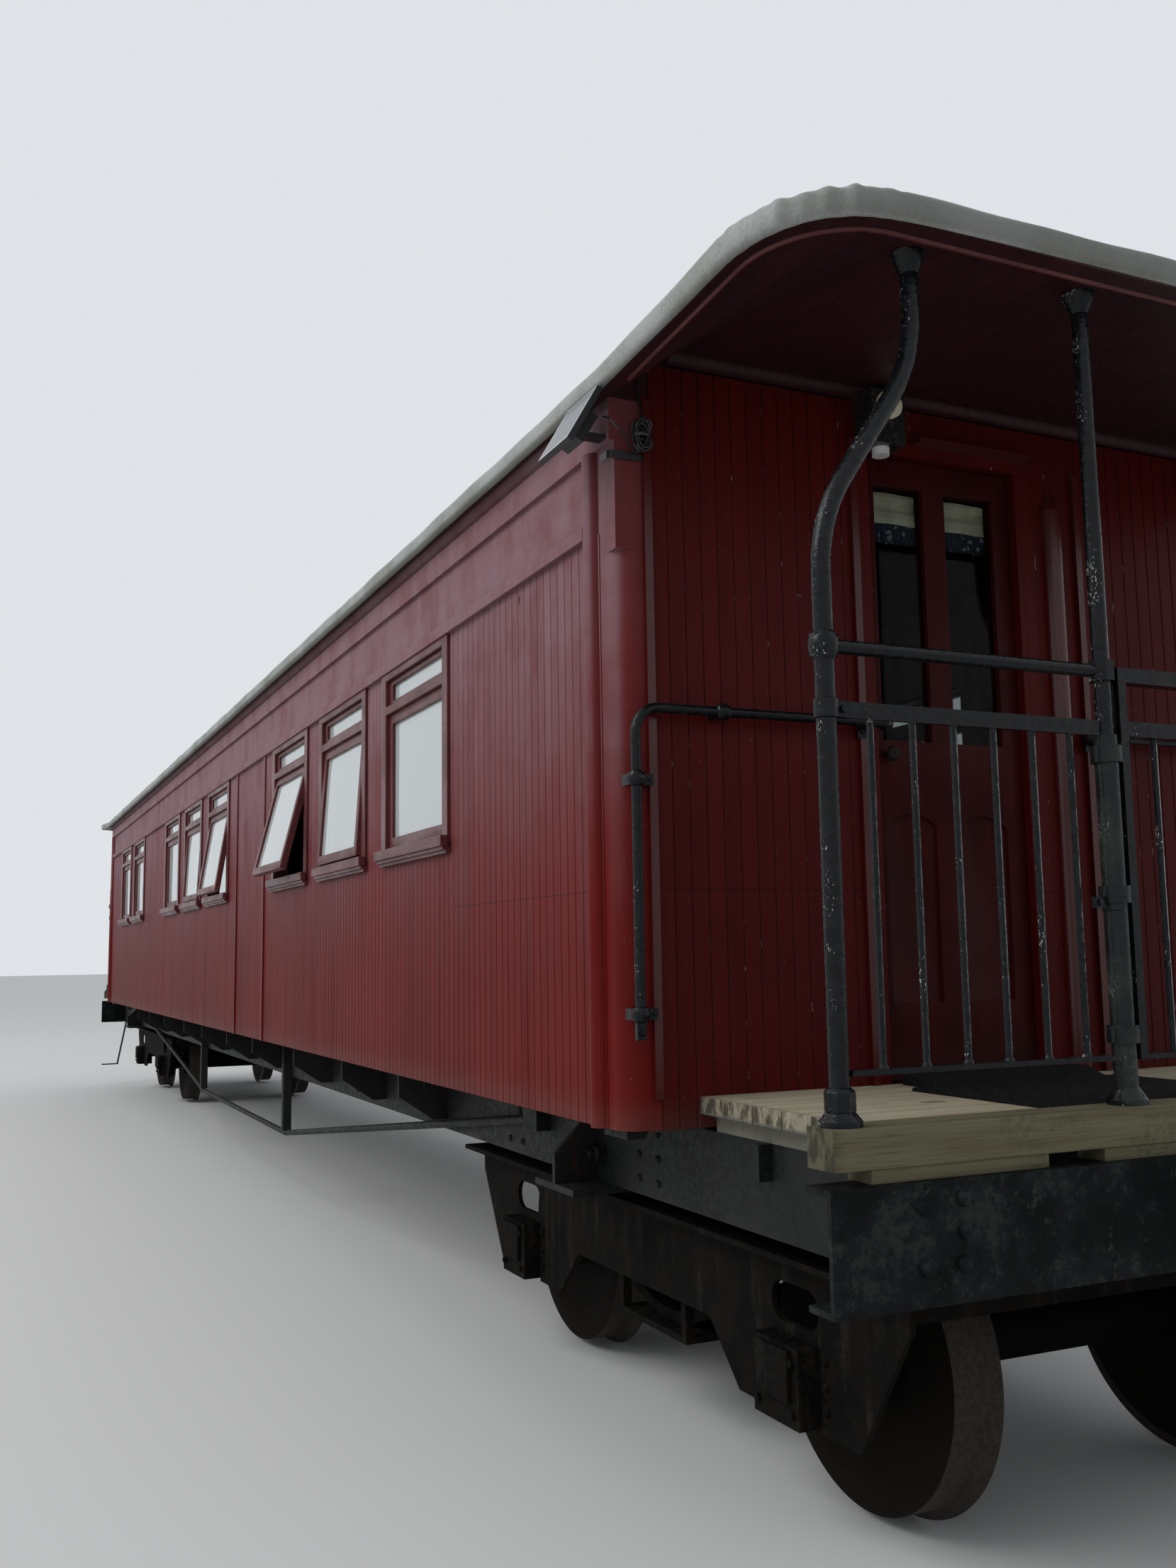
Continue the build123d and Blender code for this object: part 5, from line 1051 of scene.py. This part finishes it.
thick = np.array([0, strap_thick, strap_thick, 0])
hank_strap = surface(
    strap_line[:, :1] + outward[:, :1] * thick, strap_line[:, 1:] + outward[:, 1:] * thick,
    np.array([strap_low, strap_low, strap_high, strap_high]), close_columns=True,
)
add_piece("hank_strap", *hank_strap, lead_black, sharp=20)

# Handrail fittings: swelled collars and half-round straps hold the pipe at each clip, its lower end is a flat bolted
# lug, and black plates with two square-headed bolts sit on the wall beads.
handrail_x, handrail_y, clip_heights = 6.765, 1.200, (1.303, 1.919)
level_collar, lug_z, clip_face, bead_face = (0.933, 2.112), 1.265, 6.7505, 6.7256
plate_y, plate_z, plate_reach, lug_reach = 0.434, 2.112, (0.0024, 0.024, 0.040), (0.007, 0.0135, 0.027)
collar = np.array([
    (-0.021, 0.0142), (-0.017, 0.0200), (-0.009, 0.0235), (0.0, 0.0245), (0.009, 0.0235), (0.017, 0.0200),
    (0.021, 0.0142),
])
rail_band = np.array([(0.0141, -0.014), (0.0172, -0.013), (0.0172, 0.013), (0.0141, 0.014)])
lug_bolt = np.array([(0, 0.0085), (0.005, 0.0080), (0.0068, 0.001)])
round_head = np.array([(0, 0.007), (0.003, 0.0062), (0.0048, 0.001)])
square_head = np.array([(0, 0.0095), (0.006, 0.0095), (0.007, 0.001)])
fittings = []
for end, side in quarters:
    rail = (end * handrail_x, side * handrail_y)
    fittings += [
        turned([(*rail, clip_z) for clip_z in clip_heights], collar, (0, 0, 1), 14),
        turned([(rail[0], side * level_collar[0], level_collar[1])], collar, (0, 1, 0), 14),
        boxes(block((*rail, lug_z), lug_reach)),
        turned([(rail[0] + end * lug_reach[0], rail[1], lug_z - 0.010)], lug_bolt, (end, 0, 0), 6),
        boxes(block((end * (bead_face - plate_reach[0]), side * plate_y, plate_z), plate_reach)),
    ]
    for clip_z in clip_heights:
        turn = np.linspace(-0.55 * np.pi, 0.55 * np.pi, 13)
        spots = [(end * clip_face, side * (handrail_y - back), clip_z) for back in (0.030, 0.048)]
        fittings.append(strapped((*rail, clip_z), rail_band, turn, x_side=end))
        fittings.append(turned(spots, round_head, (end, 0, 0), 10))
    spots = [(end * bead_face, side * (plate_y + 0.008), plate_z + rise) for rise in (-0.020, 0.020)]
    fittings.append(turned(spots, square_head, (end, 0, 0), 4))
add_piece("handrail_fittings", *gathered(*fittings), rail_paint, sharp=25)

# Underframe fittings: large hexagon bolts through the sole bars at each body bolster, cleats with one rivet on the
# web by the headstocks, and worn pads under the corners of the body.
hexagon = np.array([(0, 0.034), (0.005, 0.034), (0.0052, 0.0265), (0.028, 0.0265), (0.031, 0.0225), (0.0315, 0.001)])
shank = np.array([(0.030, 0.0125), (0.048, 0.0125), (0.050, 0.0105), (0.0502, 0.001)])
bolt_x, bolt_z, cleat_x, cleat_z, cleat_out = (5.80, 5.985), 0.842, 6.94, 0.935, 0.962
cleat_reach, pad_spot, pad_reach = (0.035, 0.0056, 0.030), (6.57, 1.155, 0.98575), (0.07, 0.03, 0.01375)
fittings = []
for side in (-1, 1):
    spots = [(end * px, side * web_y, bolt_z) for end in (-1, 1) for px in bolt_x]
    fittings += [turned(spots, hexagon, (0, side, 0), 6), turned(spots, shank, (0, side, 0), 10)]
    for end in (-1, 1):
        fittings += [
            boxes(block((end * cleat_x, side * (cleat_out - cleat_reach[1]), cleat_z), cleat_reach)),
            turned([(end * cleat_x, side * cleat_out, cleat_z)], dome * 1.3, (0, side, 0), 8),
            boxes(block(np.multiply(pad_spot, (end, side, 1)), pad_reach)),
        ]
add_piece("underframe_fittings", *gathered(*fittings), steel, sharp=25)

# Floor: tongued boards along the coach, brown with old varnish and dust, seen through the windows and doors.
# They lie on the cross members and run from end wall to end wall.
floor_board = 0.14
varnish_light, varnish_dark, floor_joint = (0.105, 0.062, 0.034), (0.060, 0.036, 0.022), (0.010, 0.008, 0.006)
floor_wood, shader, place = new_finish("floor_timber", "floor_timber")
fibre, cloud = cloudy(stretched(place, 3, 60, 60), 1.0, 5.0), cloudy(place, 2.0, 4.0)
near = from_line(split(place)[1] * (1 / floor_board))
colour = coated(
    varnish_light, (varnish_dark, fibre * 0.6 + cloud * 0.4, 0.35, 0.65), (floor_joint, near, 0.012, 0.022, 0.8, 0.0),
)
lay_on(shader, colour, ramp(cloud, 0.3, 0.7, 0.45, 0.7), ramp(near, 0.0, 0.022) * 0.6 + fibre * 0.4, 0.0012)
dress(floor_wood, "floor")
